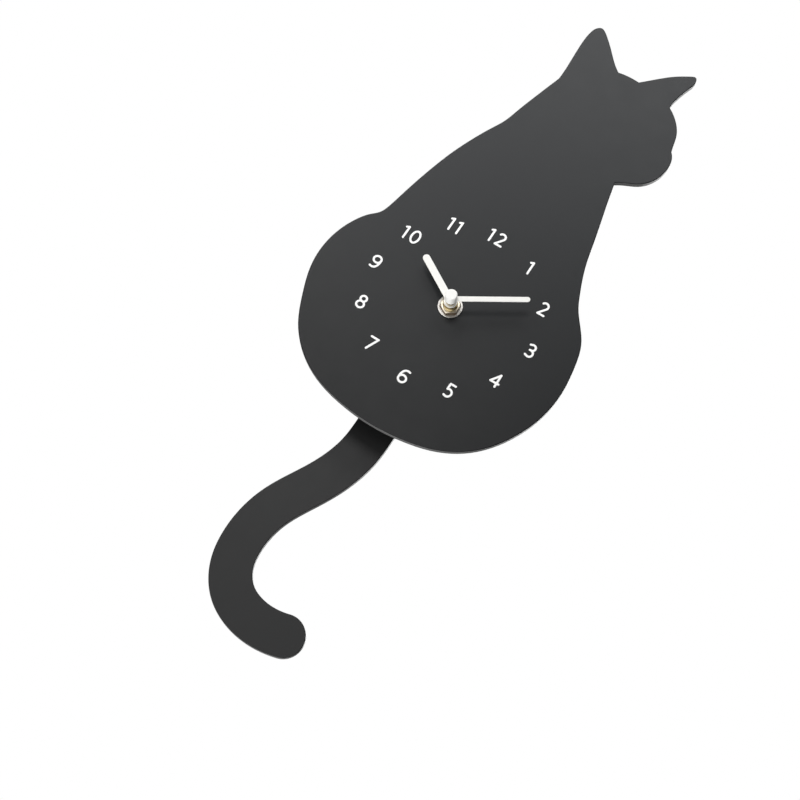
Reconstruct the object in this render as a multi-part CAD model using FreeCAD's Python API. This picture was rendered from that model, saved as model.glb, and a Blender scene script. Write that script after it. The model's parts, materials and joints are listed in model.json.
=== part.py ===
import FreeCAD, Part
import math
import os

# A wall clock: a flat cat-shaped panel with printed numbers, two hands, and a battery movement
# behind it.  The movement's pendulum unit swings a separate tail plate that hangs below the cat.
#
# Millimetres.  X to the right, Y from the front towards the wall, Z up.  Everything is drawn about
# the dial axis, with the wall at y = 0, and moved down at the end, so that the origin of the files
# is the centre of the hang hole.

V = FreeCAD.Vector
AXIS_X = V(1, 0, 0)
AXIS_Y = V(0, 1, 0)
AXIS_Z = V(0, 0, 1)

# ---- driving dimensions ------------------------------------------------------------------------

HANG_HEIGHT = 44.0          # hang hole above the dial axis
HANG_HOLE_RADIUS = 4.0
HANG_SLOT_WIDTH = 3.4

CASE_DEPTH = 28.0
CASE_HALF_WIDTH = 31.0
CASE_TOP = 36.0
CASE_BOTTOM = -46.0
CASE_CORNER = 4.0
WALL = 2.0                  # thickness of the case walls
GASKET_THICKNESS = 1.0
GASKET_RADIUS = 12.0
PANEL_THICKNESS = 3.0
PANEL_EDGE_ROUND = 0.4
TAIL_THICKNESS = 3.0
TAIL_SETBACK = 21.5         # front of the tail behind the front of the panel
TAIL_WIDTH = 22.2
TAIL_TIP_RADIUS = 11.2
TAIL_TOP_CORNER = 4.0

CASE_FRONT = -CASE_DEPTH
CASE_FLOOR = CASE_FRONT + WALL
COVER_FRONT = -WALL
PANEL_BACK = CASE_FRONT - GASKET_THICKNESS
PANEL_FRONT = PANEL_BACK - PANEL_THICKNESS
TAIL_FRONT = PANEL_FRONT + TAIL_SETBACK
TAIL_BACK = TAIL_FRONT + TAIL_THICKNESS

# Clearances
RUNNING = 0.05              # radial clearance of an arbor in its bearing
SNUG = 0.02                 # radial clearance of a fixed pin in its hole
GAP = 0.1                   # between fixed faces that nearly touch
OVERCUT = 1.0               # cutters run this far past the faces that they open

# Hub in front of the panel, as heights above its face
WASHER_RADIUS = 6.7
WASHER_THICKNESS = 0.6
NUT_ACROSS_FLATS = 10.0
NUT_TOP = 2.9
NUT_CHAMFER = 0.9
NUT_CONE_HEIGHT = 1.1       # over which the chamfer's cone opens by twice the chamfer
NUT_TURN = 33.0             # where tightening left it
BUSHING_RADIUS = 4.0
BUSHING_SHANK_RADIUS = 4.6
BUSHING_BORE = 2.76
BUSHING_TOP = 4.2
THREAD_PITCH = 0.5
THREAD_DEPTH = 0.25
HOUR_TUBE_TOP = 7.5
HOUR_TUBE_RADIUS = 2.7
MINUTE_HAND_BASE = 9.45
HAND_THICKNESS = 0.5
HAND_EDGE_ROUND = 0.15
CAP_TOP = 15.1
CAP_RADIUS = 3.25
CAP_EDGE_ROUND = 0.6
ARBOR_TOP = 13.0
MINUTE_ARBOR_RADIUS = 1.5

# Hands: each has a collet behind its hub, and an angle clockwise from twelve
HOUR_HAND = {"length": 30.4, "width": 3.95, "hub_radius": 3.7, "angle": 301.5, "base": 6.3,
             "collet_radius": 3.2, "collet_height": 1.8, "bore_radius": HOUR_TUBE_RADIUS + SNUG}
MINUTE_HAND = {"length": 41.6, "width": 2.85, "hub_radius": 3.2, "angle": 57.9, "base": MINUTE_HAND_BASE,
               "collet_radius": 2.3, "collet_height": 1.6, "bore_radius": MINUTE_ARBOR_RADIUS + SNUG}

# Printed numbers
HOURS = 12
NUMERAL_CENTRE = (0.5, 1.1)  # the printed circle sits a little above the dial axis
NUMERAL_CIRCLE = 48.0
NUMERAL_HEIGHT = 8.4
NUMERAL_STROKE = 1.15
NUMERAL_THICKNESS = 0.15
NUMERAL_GAP = 2.4           # between the two digits of a number
# The numbers were laid out by eye: how far these sit from their exact places on the circle
NUMERAL_SHIFT = {1: (-0.6, 0.0), 2: (0.5, 0.5), 3: (0.6, 0.0), 5: (0.5, -0.5), 10: (1.0, 0.0),
                 12: (-0.7, -0.4)}
NUMERAL_SCALE = NUMERAL_HEIGHT - NUMERAL_STROKE
NUMERAL_FRONT = PANEL_FRONT - NUMERAL_THICKNESS

# Gears: tooth counts
ROTOR_LEAVES = 10
INTERMEDIATE_TEETH = 60
INTERMEDIATE_LEAVES = 10
SECONDS_TEETH = 50
SECONDS_LEAVES = 10
THIRD_TEETH = 75
THIRD_LEAVES = 10
CENTRE_TEETH = 80
CANNON_LEAVES = 12
MINUTE_TEETH = 36
MINUTE_LEAVES = 10
HOUR_TEETH = 40
SETTING_LEAVES = 18

# Gears: centre distances, from which the modules follow
ROTOR_DISTANCE = 8.75
INTERMEDIATE_DISTANCE = 9.0
THIRD_DISTANCE = 13.5
MINUTE_DISTANCE = 12.0
SETTING_DISTANCE = 13.5

TOOTH_SHARE = 0.44          # tooth thickness as a share of the pitch
WHEEL_ADDENDUM = 0.95       # in modules
LEAF_ADDENDUM = 0.6
TOOTH_CLEARANCE = 0.25      # in modules, under the mate's tips
WHEEL_THICKNESS = 0.8
PLATE_THICKNESS = 1.2

# Directions of the arbors, in degrees from +X towards +Z
THIRD_DIRECTION = 235.0
INTERMEDIATE_DIRECTION = 330.0
ROTOR_DIRECTION = -20.0
MINUTE_DIRECTION = 120.0
SETTING_DIRECTION = 195.0


def place(origin, distance, degrees):
    """The point at a distance and direction from another one, in the plane of the dial."""
    turn = math.radians(degrees)
    return origin[0] + distance * math.cos(turn), origin[1] + distance * math.sin(turn)


# Arbor places (x, z)
CENTRE = (0.0, 0.0)
THIRD = place(CENTRE, THIRD_DISTANCE, THIRD_DIRECTION)
INTERMEDIATE = place(CENTRE, INTERMEDIATE_DISTANCE, INTERMEDIATE_DIRECTION)
ROTOR = place(INTERMEDIATE, ROTOR_DISTANCE, ROTOR_DIRECTION)
MINUTE = place(CENTRE, MINUTE_DISTANCE, MINUTE_DIRECTION)
SETTING = place(MINUTE, SETTING_DISTANCE, SETTING_DIRECTION)

# Levels inside the case (y of the front of each wheel or plate)
HOUR_WHEEL_Y = CASE_FLOOR + 0.4
MINUTE_WHEEL_Y = CASE_FLOOR + 1.8
CENTRE_WHEEL_Y = CASE_FLOOR + 3.4
MIDDLE_PLATE_Y = CASE_FLOOR + 4.8
MIDDLE_PLATE_BACK = MIDDLE_PLATE_Y + PLATE_THICKNESS
THIRD_WHEEL_Y = MIDDLE_PLATE_BACK + 1.4
SECONDS_WHEEL_Y = MIDDLE_PLATE_BACK + 3.4
INTERMEDIATE_WHEEL_Y = MIDDLE_PLATE_BACK + 5.1
REAR_PLATE_Y = MIDDLE_PLATE_BACK + 6.6
REAR_PLATE_BACK = REAR_PLATE_Y + PLATE_THICKNESS
LEAF_OVERHANG = 0.2         # a pinion stands out this far on each side of its wheel
ARBOR_INSET = 0.2           # an arbor ends this far inside its bearing plate

THIN_ARBOR = 0.4
THIRD_ARBOR = 0.5
REAR_JOURNAL = 1.0          # radius of the minute arbor where it carries the centre wheel
POST_RADIUS = 0.9           # fixed post of the minute wheel
SETTING_STEM = 1.5
SETTING_PIVOT = 0.8
SETTING_PIVOT_DEPTH = 1.0
THIRD_PIVOT_DEPTH = 1.2
THIRD_BOSS = 1.0            # plastic around the third wheel's front bearing
POST_RISE = 0.4             # the minute wheel's post stands out behind it

PILLARS = [(-23.2, -14.0), (11.0, 11.5), (8.0, -22.0)]
PILLAR_RADIUS = 2.2
PLATE_SCREW_RADIUS = 0.8
PLATE_SCREW_HEAD = 1.6
PLATE_SCREW_HEIGHT = 1.0
PLATE_SCREW_DEPTH = 2.4     # how far it goes into the case pillar
SCREW_SLOT_WIDTH = 0.4
SCREW_SLOT_DEPTH = 0.5
HOLE_SPARE = 0.3            # a blind hole is this much deeper than what it takes

COVER_SCREWS = [(-26.8, -41.8), (26.8, -41.8), (26.8, 12.6)]
COVER_SCREW_RADIUS = 1.0
COVER_SCREW_HEAD = 2.0
COVER_SCREW_LENGTH = 7.5
SCREW_HEAD_HEIGHT = 1.1
SCREW_HEAD_ROUND = 0.4
CROSS_SHARE = 0.6           # half length of a cross recess as a share of the head's radius
CROSS_WIDTH = 0.5
CROSS_DEPTH = 0.6
BOSS_RADIUS = 2.6

# Battery bay
BAY_HALF_WIDTH = 28.9
BAY_BOTTOM = 15.4
BAY_TOP = 33.9
BAY_WALL = 1.0
BAY_FRONT = -16.4
CELL_RADIUS = 7.25
CELL_BODY = 49.5
CELL_NUB = 1.0
CELL_NUB_RADIUS = 2.75
CONTACT_THICKNESS = 0.4

# Pendulum unit
SWING_X = -7.25             # over the centre of mass of everything that swings
PIVOT = (SWING_X, -20.0)
PIVOT_RADIUS = 1.0
ARM_Y = -9.9
ARM_THICKNESS = 2.0
ARM_WIDTH = 7.0
ARM_HUB = 3.2
ARM_HUB_Y = (-11.0, -7.0)
HOOK = (SWING_X, -51.3)
HOOK_RADIUS = 2.0
HOOK_LIP_RADIUS = 2.8
HOOK_LIP_THICKNESS = 0.8
HOOK_PLAY = 0.2             # between the lip and the strap
SWING_MAGNET = (SWING_X, -36.5)
SWING_MAGNET_RADIUS = 4.5
COIL_STAND = -22.0
SWING_SLOT = 9.0            # half width of the opening in the bottom of the case

STRAP_THICKNESS = 0.8
STRAP_EYE_RADIUS = 3.7
STRAP_END_RADIUS = 3.2
TAIL_SCREWS = [(-3.6, -60.6), (0.4, -66.4)]
TAIL_SCREW_RADIUS = 1.0
TAIL_SCREW_HEAD = 2.2

# Ends of the arbors, and the motor magnet
ARBOR_REAR_END = REAR_PLATE_BACK - 2 * ARBOR_INSET
CANNON_Y = (MINUTE_WHEEL_Y - LEAF_OVERHANG, MINUTE_WHEEL_Y + WHEEL_THICKNESS + LEAF_OVERHANG)
SECONDS_ARBOR_FRONT = MIDDLE_PLATE_BACK - 2.0
ROTOR_MAGNET_RADIUS = 2.3
ROTOR_MAGNET_Y = (MIDDLE_PLATE_BACK + 0.8, MIDDLE_PLATE_BACK + 3.6)
THIRD_BOSS_BACK = CASE_FLOOR + 2.4

# Stepping motor: x and z ranges, with the coil on a core at CORE_X
STATOR_THICKNESS = 1.4
STATOR_Y = MIDDLE_PLATE_BACK + 1.7
STATOR_STRIP = (13.6, 18.6)
STATOR_BOTTOM = -20.0
STATOR_TOP = 9.6
STATOR_TAB = 4.0
STATOR_HOLE = 2.7
STATOR_EYE = 4.3
CORE_X = 23.6
CORE_WIDTH = 2.8
CORE_Y = STATOR_Y + STATOR_THICKNESS
WINDING_Y = CORE_Y + STATOR_THICKNESS / 2
BOBBIN_Z = (-15.2, 4.8)
BOBBIN_FLANGE = 0.8
BOBBIN_RADIUS = 1.95
FLANGE_MARGIN = 0.1         # flanges stand this far out of the winding
WINDING_RADIUS = 2.7
RIVET_RADIUS = 0.7
RIVET_HEAD_RADIUS = 1.2
RIVET_HEAD_HEIGHT = 0.4

# Bearing plates and circuit board as (x range, z range), and what the board carries
PLATE_BOX = ((-27.0, 19.0), (-25.5, 14.8))
PLATE_CORNER = 2.0
TRAIN_BEARINGS = [(THIRD_ARBOR + RUNNING, THIRD), (THIN_ARBOR + RUNNING, INTERMEDIATE),
                  (THIN_ARBOR + RUNNING, ROTOR), (SETTING_STEM + RUNNING, SETTING)]
BOARD_BOX = ((4.0, 22.0), (-43.0, -28.0))
BOARD_Y = CASE_FLOOR + 5.4
BOARD_THICKNESS = 1.0
BOARD_POSTS = [(6.8, -40.6), (19.2, -30.4)]
BOARD_POST_RADIUS = 1.8
BOARD_PEG_RADIUS = 0.8
BOARD_PEG_RISE = 0.3
CHIP_PLACE = (10.6, -34.2)
CHIP_RADIUS = 3.0
CHIP_HEIGHT = 0.9
CHIP_ROUND = 0.6
CRYSTAL_X = 17.0
CRYSTAL_Z = (-41.6, -35.2)
CRYSTAL_RADIUS = 1.0
CRYSTAL_ROUND = 0.3

# Knob
KNOB_RADIUS = 6.0
KNOB_FRONT = -5.2
KNOB_BACK = -0.8
KNOB_WELL = 0.9             # room around it in the cover
KNOB_FLOOR = 1.3            # thickness behind the stem's socket
KNOB_GRIPS = 16
GRIP_RADIUS = 0.8
GRIP_SETOUT = 0.35          # the grips are cut from centres this far outside the rim

# Hanger
HANGER_HALF_WIDTH = 11.0
HANGER_THICKNESS = 1.2
HANGER_TOP = 52.0
HANGER_FRONT = -24.0
HANGER_SCREW_Y = -20.0
HANGER_SCREW_RADIUS = 1.0
HANGER_SCREW_END = 28.0
HANGER_SCREW_HEAD = 2.0
HANGER_SCREWS = (-7.0, 7.0)  # x
HANGER_BEND = 1.6
HANGER_CORNER = 5.0
HANG_SLOT_RISE = 1.0        # centre of the slot's round top above the hole's top
BOSS_LIP = 1.0              # plastic below the hanger's screws

# Cell and contacts
CELL_Z = (BAY_BOTTOM + BAY_TOP) / 2
CELL_Y = BAY_FRONT + BAY_WALL + CELL_RADIUS + GAP
CELL_TIP = BAY_HALF_WIDTH - BAY_WALL - CONTACT_THICKNESS - GAP
CELL_START = CELL_TIP - CELL_NUB - CELL_BODY
CELL_ROUND = 0.7
CONTACT_HALF = 4.5          # half the contacts' width
POSITIVE_CONTACT_BACK = -1.2
LEAF_RANGE = (-14.4, -1.4)  # y of the leaf contact's two feet
LEAF_FOOT = 0.6

# Coil, magnet and pivot pin of the pendulum unit
COIL_RADIUS = 6.9
COIL_BORE = 1.2
COIL_CORE = 2.2
COIL_FLANGE = 0.8
COIL_BACK = -13.8
COIL_MARGIN = 0.6           # the winding stops this far inside its flanges
COIL_PEG = 3.0
MAGNET_THICKNESS = 2.6
PIN_SEAT = -6.8
PIN_END = -3.4
PIN_BOSS = 1.5              # plastic around the pin in the cover

# ---- outlines ----------------------------------------------------------------------------------

LEFT_EAR = [(3.8, 176.8), (-0.6, 180.6), (-7.4, 188.2), (-13.6, 194.7), (-16.3, 197.1), (-19.1, 198.3),
            (-21.5, 196.8), (-23.3, 192.3), (-23.9, 182.0), (-23.1, 166.2), (-23.0, 154.6)]
BODY = [(-23.0, 154.6), (-27.4, 139.8), (-32.2, 122.5), (-34.6, 113.8), (-38.4, 105.6), (-43.9, 93.3),
        (-48.6, 80.7), (-52.4, 67.7), (-58.3, 41.3), (-60.1, 32.5), (-62.2, 26.9), (-66.5, 22.3),
        (-69.8, 17.7), (-75.1, 5.3), (-77.1, -8.0), (-75.6, -22.0), (-70.4, -37.0), (-62.0, -53.6),
        (-50.4, -65.6), (-37.0, -73.2), (-20.3, -77.8), (0.0, -79.6), (20.0, -77.8), (36.5, -73.3),
        (52.0, -63.8), (65.7, -46.2), (72.4, -29.5), (74.6, -11.3), (73.2, 3.5), (69.2, 18.3),
        (61.6, 29.5), (58.2, 34.6), (55.1, 41.3), (49.1, 58.2), (45.2, 75.8), (41.2, 93.4), (37.2, 112.2)]
CHIN = [(37.2, 112.2), (41.0, 114.6), (49.0, 118.7), (54.9, 125.5), (57.5, 134.5), (57.2, 141.0),
        (54.3, 146.6)]
FOREHEAD = [(54.3, 146.6), (53.6, 149.4), (51.5, 158.1), (46.8, 165.7), (39.7, 171.8)]
RIGHT_EAR = [(39.7, 171.8), (40.7, 180.4), (43.2, 189.2), (44.3, 195.0), (43.0, 197.7), (39.3, 196.5),
             (31.6, 191.3), (24.9, 185.2), (16.8, 177.2)]
CROWN = [(16.8, 177.2), (10.2, 177.5), (3.8, 176.8)]

TAIL_LINE = [(-0.3, -57.0), (-0.3, -76.0), (-0.9, -88.5), (-3.8, -101.0), (-10.2, -116.0), (-17.5, -129.5),
             (-21.9, -139.5), (-24.7, -152.0), (-24.9, -163.0), (-22.4, -174.6), (-13.2, -186.8),
             (-4.2, -191.2), (5.7, -192.8), (13.7, -192.3), (20.3, -190.8)]
TAIL_STEPS = 28

OUTLINE_RISE = 1.2          # the outlines are drawn this far below their place about the dial axis

# Strokes of each digit, in units of the height between the stroke middles: a "line" through points,
# an "arc" with its centre, radius and start and end angles, or an "oval" with its centre and radii.
DIGITS = {
    "0": (0.62, [("oval", (0.31, 0.50), 0.31, 0.51)]),
    "1": (0.20, [("line", (0.0, 0.91), (0.20, 1.0), (0.20, 0.0))]),
    "2": (0.54, [("arc", (0.26, 0.74), 0.26, -42, 145), ("line", (0.453, 0.566), (0.03, 0.0), (0.54, 0.0))]),
    "3": (0.51, [("line", (0.0, 0.93), (0.14, 0.983)), ("arc", (0.24, 0.77), 0.235, -90, 115),
                 ("line", (0.15, 0.537), (0.24, 0.537)), ("arc", (0.24, 0.27), 0.27, -115, 90),
                 ("line", (0.0, 0.07), (0.126, 0.025))]),
    "4": (0.66, [("line", (0.50, 0.0), (0.50, 1.0), (0.0, 0.29), (0.66, 0.29))]),
    "5": (0.47, [("line", (0.44, 1.0), (0.03, 1.0), (0.02, 0.56)), ("arc", (0.17, 0.30), 0.30, -105, 120),
                 ("line", (0.0, 0.04), (0.092, 0.01))]),
    "6": (0.60, [("oval", (0.30, 0.28), 0.30, 0.28), ("arc", (0.95, 0.40), 0.95, 157, 187),
                 ("arc", (0.41, 0.63), 0.36, 65, 157)]),
    "7": (0.58, [("line", (0.0, 1.0), (0.58, 1.0), (0.12, 0.0))]),
    "8": (0.58, [("oval", (0.29, 0.77), 0.24, 0.23), ("oval", (0.29, 0.27), 0.29, 0.27)]),
    "9": (0.60, [("oval", (0.30, 0.72), 0.30, 0.28), ("arc", (-0.35, 0.60), 0.95, -23, 7),
                 ("arc", (0.19, 0.37), 0.36, -115, -23)]),
}


# ---- plain solids ------------------------------------------------------------------------------

def rod(radius, front, back, at=CENTRE):
    """A round bar along Y."""
    return Part.makeCylinder(radius, back - front, V(at[0], front, at[1]), AXIS_Y)


def bore(radius, front, back, at=CENTRE):
    """A cutter for a round hole through everything between two levels."""
    return rod(radius, front - OVERCUT, back + OVERCUT, at)


def ring(outer, inner, front, back, at=CENTRE):
    return rod(outer, front, back, at).cut(bore(inner, front, back, at))


def slab(x_range, y_range, z_range):
    size = [high - low for low, high in (x_range, y_range, z_range)]
    return Part.makeBox(size[0], size[1], size[2], V(x_range[0], y_range[0], z_range[0]))


def fused(solids):
    """One solid out of several that touch."""
    whole = solids[0]
    for solid in solids[1:]:
        whole = whole.fuse(solid)
    return whole.removeSplitter()


def cut_all(solid, tools):
    for tool in tools:
        solid = solid.cut(tool)
    return solid


def spline(points, front):
    """A smooth edge through points (x, z)."""
    curve = Part.BSplineCurve()
    curve.interpolate([V(x, front, z) for x, z in points])
    return curve.toShape()


def segment(start, end, front):
    return Part.makeLine(V(start[0], front, start[1]), V(end[0], front, end[1]))


def arc(start, middle, end, front):
    points = [V(x, front, z) for x, z in (start, middle, end)]
    return Part.Arc(*points).toShape()


def plate(edges, thickness):
    """A flat plate of a closed outline, thickened towards the wall."""
    face = Part.Face(Part.Wire(Part.__sortEdges__(edges)))
    return face.extrude(V(0, thickness, 0))


def polygon_plate(points, front, thickness):
    corners = [V(x, front, z) for x, z in points]
    face = Part.Face(Part.makePolygon(corners + corners[:1]))
    return face.extrude(V(0, thickness, 0))


def capsule(start, end, width, front, back):
    """A flat bar with two round ends."""
    turn = math.atan2(end[1] - start[1], end[0] - start[0])
    side = (-math.sin(turn) * width / 2, math.cos(turn) * width / 2)
    left = [(p[0] + side[0], p[1] + side[1]) for p in (start, end)]
    right = [(p[0] - side[0], p[1] - side[1]) for p in (start, end)]
    ahead = (math.cos(turn) * width / 2, math.sin(turn) * width / 2)
    edges = [segment(left[0], left[1], front),
             arc(left[1], (end[0] + ahead[0], end[1] + ahead[1]), right[1], front),
             segment(right[1], right[0], front),
             arc(right[0], (start[0] - ahead[0], start[1] - ahead[1]), left[0], front)]
    return plate(edges, back - front)


def rounded_box(half_width, front, back, bottom, top, corner):
    """A box whose four edges along Y are rounded."""
    box = slab((-half_width, half_width), (front, back), (bottom, top))
    edges = [e for e in box.Edges if e.BoundBox.YLength > (back - front) / 2]
    return box.makeFillet(corner, edges)


def edges_on(solid, level):
    """The edges of a solid that lie in the plane y = level."""
    near = solid.BoundBox.YLength / 100
    return [e for e in solid.Edges
            if abs(e.BoundBox.YMin - level) < near and abs(e.BoundBox.YMax - level) < near]


# ---- gears -------------------------------------------------------------------------------------

def flank_lean(pitch_radius, rolling_radius, height):
    """Angle by which an epicycloid flank has leaned in at a height above the pitch circle."""
    reach = pitch_radius + rolling_radius
    tip = pitch_radius + height
    roll = math.acos((reach ** 2 + rolling_radius ** 2 - tip ** 2) / (2 * reach * rolling_radius))
    turn = roll * rolling_radius / pitch_radius
    x = reach * math.cos(turn) - rolling_radius * math.cos(turn + roll)
    z = reach * math.sin(turn) - rolling_radius * math.sin(turn + roll)
    return math.atan2(z, x)


def gear(teeth, mate_teeth, distance, phase, front, back, at):
    """A clock gear: radial flanks below the pitch circle and epicycloid ones above it."""
    module = 2 * distance / (teeth + mate_teeth)
    pitch_radius = module * teeth / 2
    is_pinion = teeth < mate_teeth
    addendum = module * (LEAF_ADDENDUM if is_pinion else WHEEL_ADDENDUM)
    mate_addendum = module * (WHEEL_ADDENDUM if is_pinion else LEAF_ADDENDUM)
    root_radius = pitch_radius - mate_addendum - TOOTH_CLEARANCE * module
    half = math.pi * TOOTH_SHARE / teeth
    lean = flank_lean(pitch_radius, module * mate_teeth / 4, addendum)
    profile = [(root_radius, -half), (pitch_radius, -half), (pitch_radius + addendum, lean - half),
               (pitch_radius + addendum, half - lean), (pitch_radius, half), (root_radius, half)]
    points = []
    for tooth in range(teeth):
        middle = phase + 2 * math.pi * tooth / teeth
        for radius, side in profile:
            points.append(place(at, radius, math.degrees(middle + side)))
    return polygon_plate(points, front, back - front)


def meshed_phase(teeth, mate_teeth, mate_phase, direction):
    """The phase that puts a gap of this gear on a tooth of its mate, which lies behind it along direction."""
    along = math.radians(direction)
    return along + math.pi - (mate_phase - along) * mate_teeth / teeth - math.pi / teeth


# ---- panel, numbers and tail -------------------------------------------------------------------

def make_panel():
    stretches = [LEFT_EAR, BODY, CHIN, FOREHEAD, RIGHT_EAR, CROWN]
    panel = plate([spline(points, PANEL_FRONT) for points in stretches], PANEL_THICKNESS)
    panel = panel.makeFillet(PANEL_EDGE_ROUND, edges_on(panel, PANEL_FRONT))
    panel.translate(V(0, 0, OUTLINE_RISE))
    return panel.cut(bore(BUSHING_RADIUS + GAP, PANEL_FRONT, PANEL_BACK))


def tail_side(side):
    """The tail's edge at half its width to one side of its middle line."""
    middle = Part.BSplineCurve()
    middle.interpolate([V(x, TAIL_FRONT, z) for x, z in TAIL_LINE])
    points = []
    for step in range(TAIL_STEPS + 1):
        u = middle.FirstParameter + (middle.LastParameter - middle.FirstParameter) * step / TAIL_STEPS
        ahead = middle.tangent(u)[0]
        grow = 1 + (2 * TAIL_TIP_RADIUS / TAIL_WIDTH - 1) * step / TAIL_STEPS
        across = V(ahead.z, 0, -ahead.x).multiply(side * grow * TAIL_WIDTH / 2)
        point = middle.value(u).add(across)
        points.append((point.x, point.z))
    return points


def make_tail():
    left = tail_side(1)
    right = tail_side(-1)
    end = TAIL_LINE[-1]
    before = TAIL_LINE[-2]
    turn = math.degrees(math.atan2(end[1] - before[1], end[0] - before[0]))
    tip = place(end, TAIL_TIP_RADIUS, turn)
    edges = [spline(left, TAIL_FRONT), spline(right, TAIL_FRONT), segment(left[0], right[0], TAIL_FRONT),
             arc(left[-1], tip, right[-1], TAIL_FRONT)]
    tail = plate(edges, TAIL_THICKNESS)
    lowest = TAIL_LINE[0][1] - TAIL_TOP_CORNER
    corners = [e for e in tail.Edges
               if e.BoundBox.ZMin > lowest and e.BoundBox.YLength > TAIL_THICKNESS / 2]
    tail = tail.makeFillet(TAIL_TOP_CORNER, corners)
    tail = tail.makeFillet(PANEL_EDGE_ROUND, edges_on(tail, TAIL_FRONT))
    tail.translate(V(0, 0, OUTLINE_RISE))
    return cut_all(tail, [bore(TAIL_SCREW_RADIUS + GAP, TAIL_FRONT, TAIL_BACK, at) for at in TAIL_SCREWS])


def line_stroke(points, corner):
    """Round-ended bars between points, in millimetres from the digit's lower left corner."""
    places = [(corner[0] + x * NUMERAL_SCALE, corner[1] + z * NUMERAL_SCALE) for x, z in points]
    return [capsule(a, b, NUMERAL_STROKE, NUMERAL_FRONT, PANEL_FRONT) for a, b in zip(places, places[1:])]


def arc_stroke(centre, radius, start, end, corner):
    """A bent bar with round ends."""
    middle = (corner[0] + centre[0] * NUMERAL_SCALE, corner[1] + centre[1] * NUMERAL_SCALE)
    outer = radius * NUMERAL_SCALE + NUMERAL_STROKE / 2
    inner = radius * NUMERAL_SCALE - NUMERAL_STROKE / 2
    angles = (start, (start + end) / 2, end)
    far, near = [[place(middle, reach, angle) for angle in angles] for reach in (outer, inner)]
    edges = [arc(*far, NUMERAL_FRONT), arc(*near, NUMERAL_FRONT),
             segment(near[0], far[0], NUMERAL_FRONT), segment(near[2], far[2], NUMERAL_FRONT)]
    ends = [rod(NUMERAL_STROKE / 2, NUMERAL_FRONT, PANEL_FRONT, place(middle, radius * NUMERAL_SCALE, angle))
            for angle in (start, end)]
    return [plate(edges, NUMERAL_THICKNESS)] + ends


def oval_plate(middle, half_width, half_height):
    """An upright oval, thickened to the panel's face."""
    long_way = half_height >= half_width
    radii = (half_height, half_width) if long_way else (half_width, half_height)
    ellipse = Part.Ellipse(V(0, 0, 0), radii[0], radii[1]).toShape()
    face = Part.Face(Part.Wire([ellipse]))
    face.rotate(V(0, 0, 0), AXIS_X, 90)
    face.rotate(V(0, 0, 0), AXIS_Y, 90 if long_way else 0)
    face.translate(V(middle[0], NUMERAL_FRONT, middle[1]))
    return face.extrude(V(0, NUMERAL_THICKNESS, 0))


def oval_stroke(centre, half_width, half_height, corner):
    middle = (corner[0] + centre[0] * NUMERAL_SCALE, corner[1] + centre[1] * NUMERAL_SCALE)
    outer, inner = [oval_plate(middle, half_width * NUMERAL_SCALE + grow, half_height * NUMERAL_SCALE + grow)
                    for grow in (NUMERAL_STROKE / 2, -NUMERAL_STROKE / 2)]
    return [outer.cut(inner)]


def make_digit(digit, corner):
    solids = []
    for stroke in DIGITS[digit][1]:
        kind, values = stroke[0], stroke[1:]
        if kind == "line":
            solids += line_stroke(values, corner)
        elif kind == "arc":
            solids += arc_stroke(*values, corner)
        else:
            solids += oval_stroke(*values, corner)
    return fused(solids)


def make_numerals():
    """The numbers one to twelve, upright on their circle, with each digit a solid."""
    digits = []
    for hour in range(1, HOURS + 1):
        text = str(hour)
        widths = [DIGITS[digit][0] * NUMERAL_SCALE for digit in text]
        total = sum(widths) + (NUMERAL_STROKE + NUMERAL_GAP) * (len(text) - 1)
        x, z = place(NUMERAL_CENTRE, NUMERAL_CIRCLE, 90 - 360 * hour / HOURS)
        aside, up = NUMERAL_SHIFT.get(hour, (0.0, 0.0))
        left = x + aside - total / 2
        for digit, width in zip(text, widths):
            digits.append(make_digit(digit, (left, z + up - NUMERAL_SCALE / 2)))
            left += width + NUMERAL_STROKE + NUMERAL_GAP
    return Part.makeCompound(digits)


# ---- hub and hands -----------------------------------------------------------------------------

def above(height):
    """The y of a height above the panel's face."""
    return PANEL_FRONT - height


def make_washer():
    washer = ring(WASHER_RADIUS, BUSHING_RADIUS + GAP, above(WASHER_THICKNESS), PANEL_FRONT)
    outer = [e for e in edges_on(washer, above(WASHER_THICKNESS))
             if e.BoundBox.XLength > WASHER_RADIUS + BUSHING_RADIUS]
    return washer.makeFillet(WASHER_THICKNESS / 4, outer)


def make_nut():
    """A hexagon nut with its front corners turned off by a cone."""
    corner_radius = NUT_ACROSS_FLATS / math.sqrt(3)
    wide = corner_radius + NUT_CHAMFER
    front, back = above(NUT_TOP), above(WASHER_THICKNESS)
    corners = [place(CENTRE, corner_radius, NUT_TURN + 60 * side) for side in range(6)]
    nut = polygon_plate(corners, front, back - front)
    cone = Part.makeCone(corner_radius - NUT_CHAMFER, wide, NUT_CONE_HEIGHT, V(0, front, 0), AXIS_Y)
    nut = nut.common(fused([cone, rod(wide, front + NUT_CONE_HEIGHT, back)]))
    return nut.cut(bore(BUSHING_RADIUS + SNUG, front, back))


def make_bushing():
    """Threaded in front, smooth where it sits in the case, with a through bore."""
    front = above(BUSHING_TOP)
    points = [(BUSHING_SHANK_RADIUS, CASE_FLOOR), (BUSHING_SHANK_RADIUS, CASE_FRONT),
              (BUSHING_RADIUS, CASE_FRONT)]
    turns = int((CASE_FRONT - front) / THREAD_PITCH)
    for turn in range(turns):
        y = CASE_FRONT - turn * THREAD_PITCH
        points.append((BUSHING_RADIUS - THREAD_DEPTH, y - THREAD_PITCH / 2))
        points.append((BUSHING_RADIUS, y - THREAD_PITCH))
    points += [(BUSHING_RADIUS - THREAD_DEPTH, front), (BUSHING_BORE, front), (BUSHING_BORE, CASE_FLOOR)]
    corners = [V(x, y, 0) for x, y in points]
    face = Part.Face(Part.makePolygon(corners + corners[:1]))
    return face.revolve(V(0, 0, 0), AXIS_Y, 360)


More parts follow.
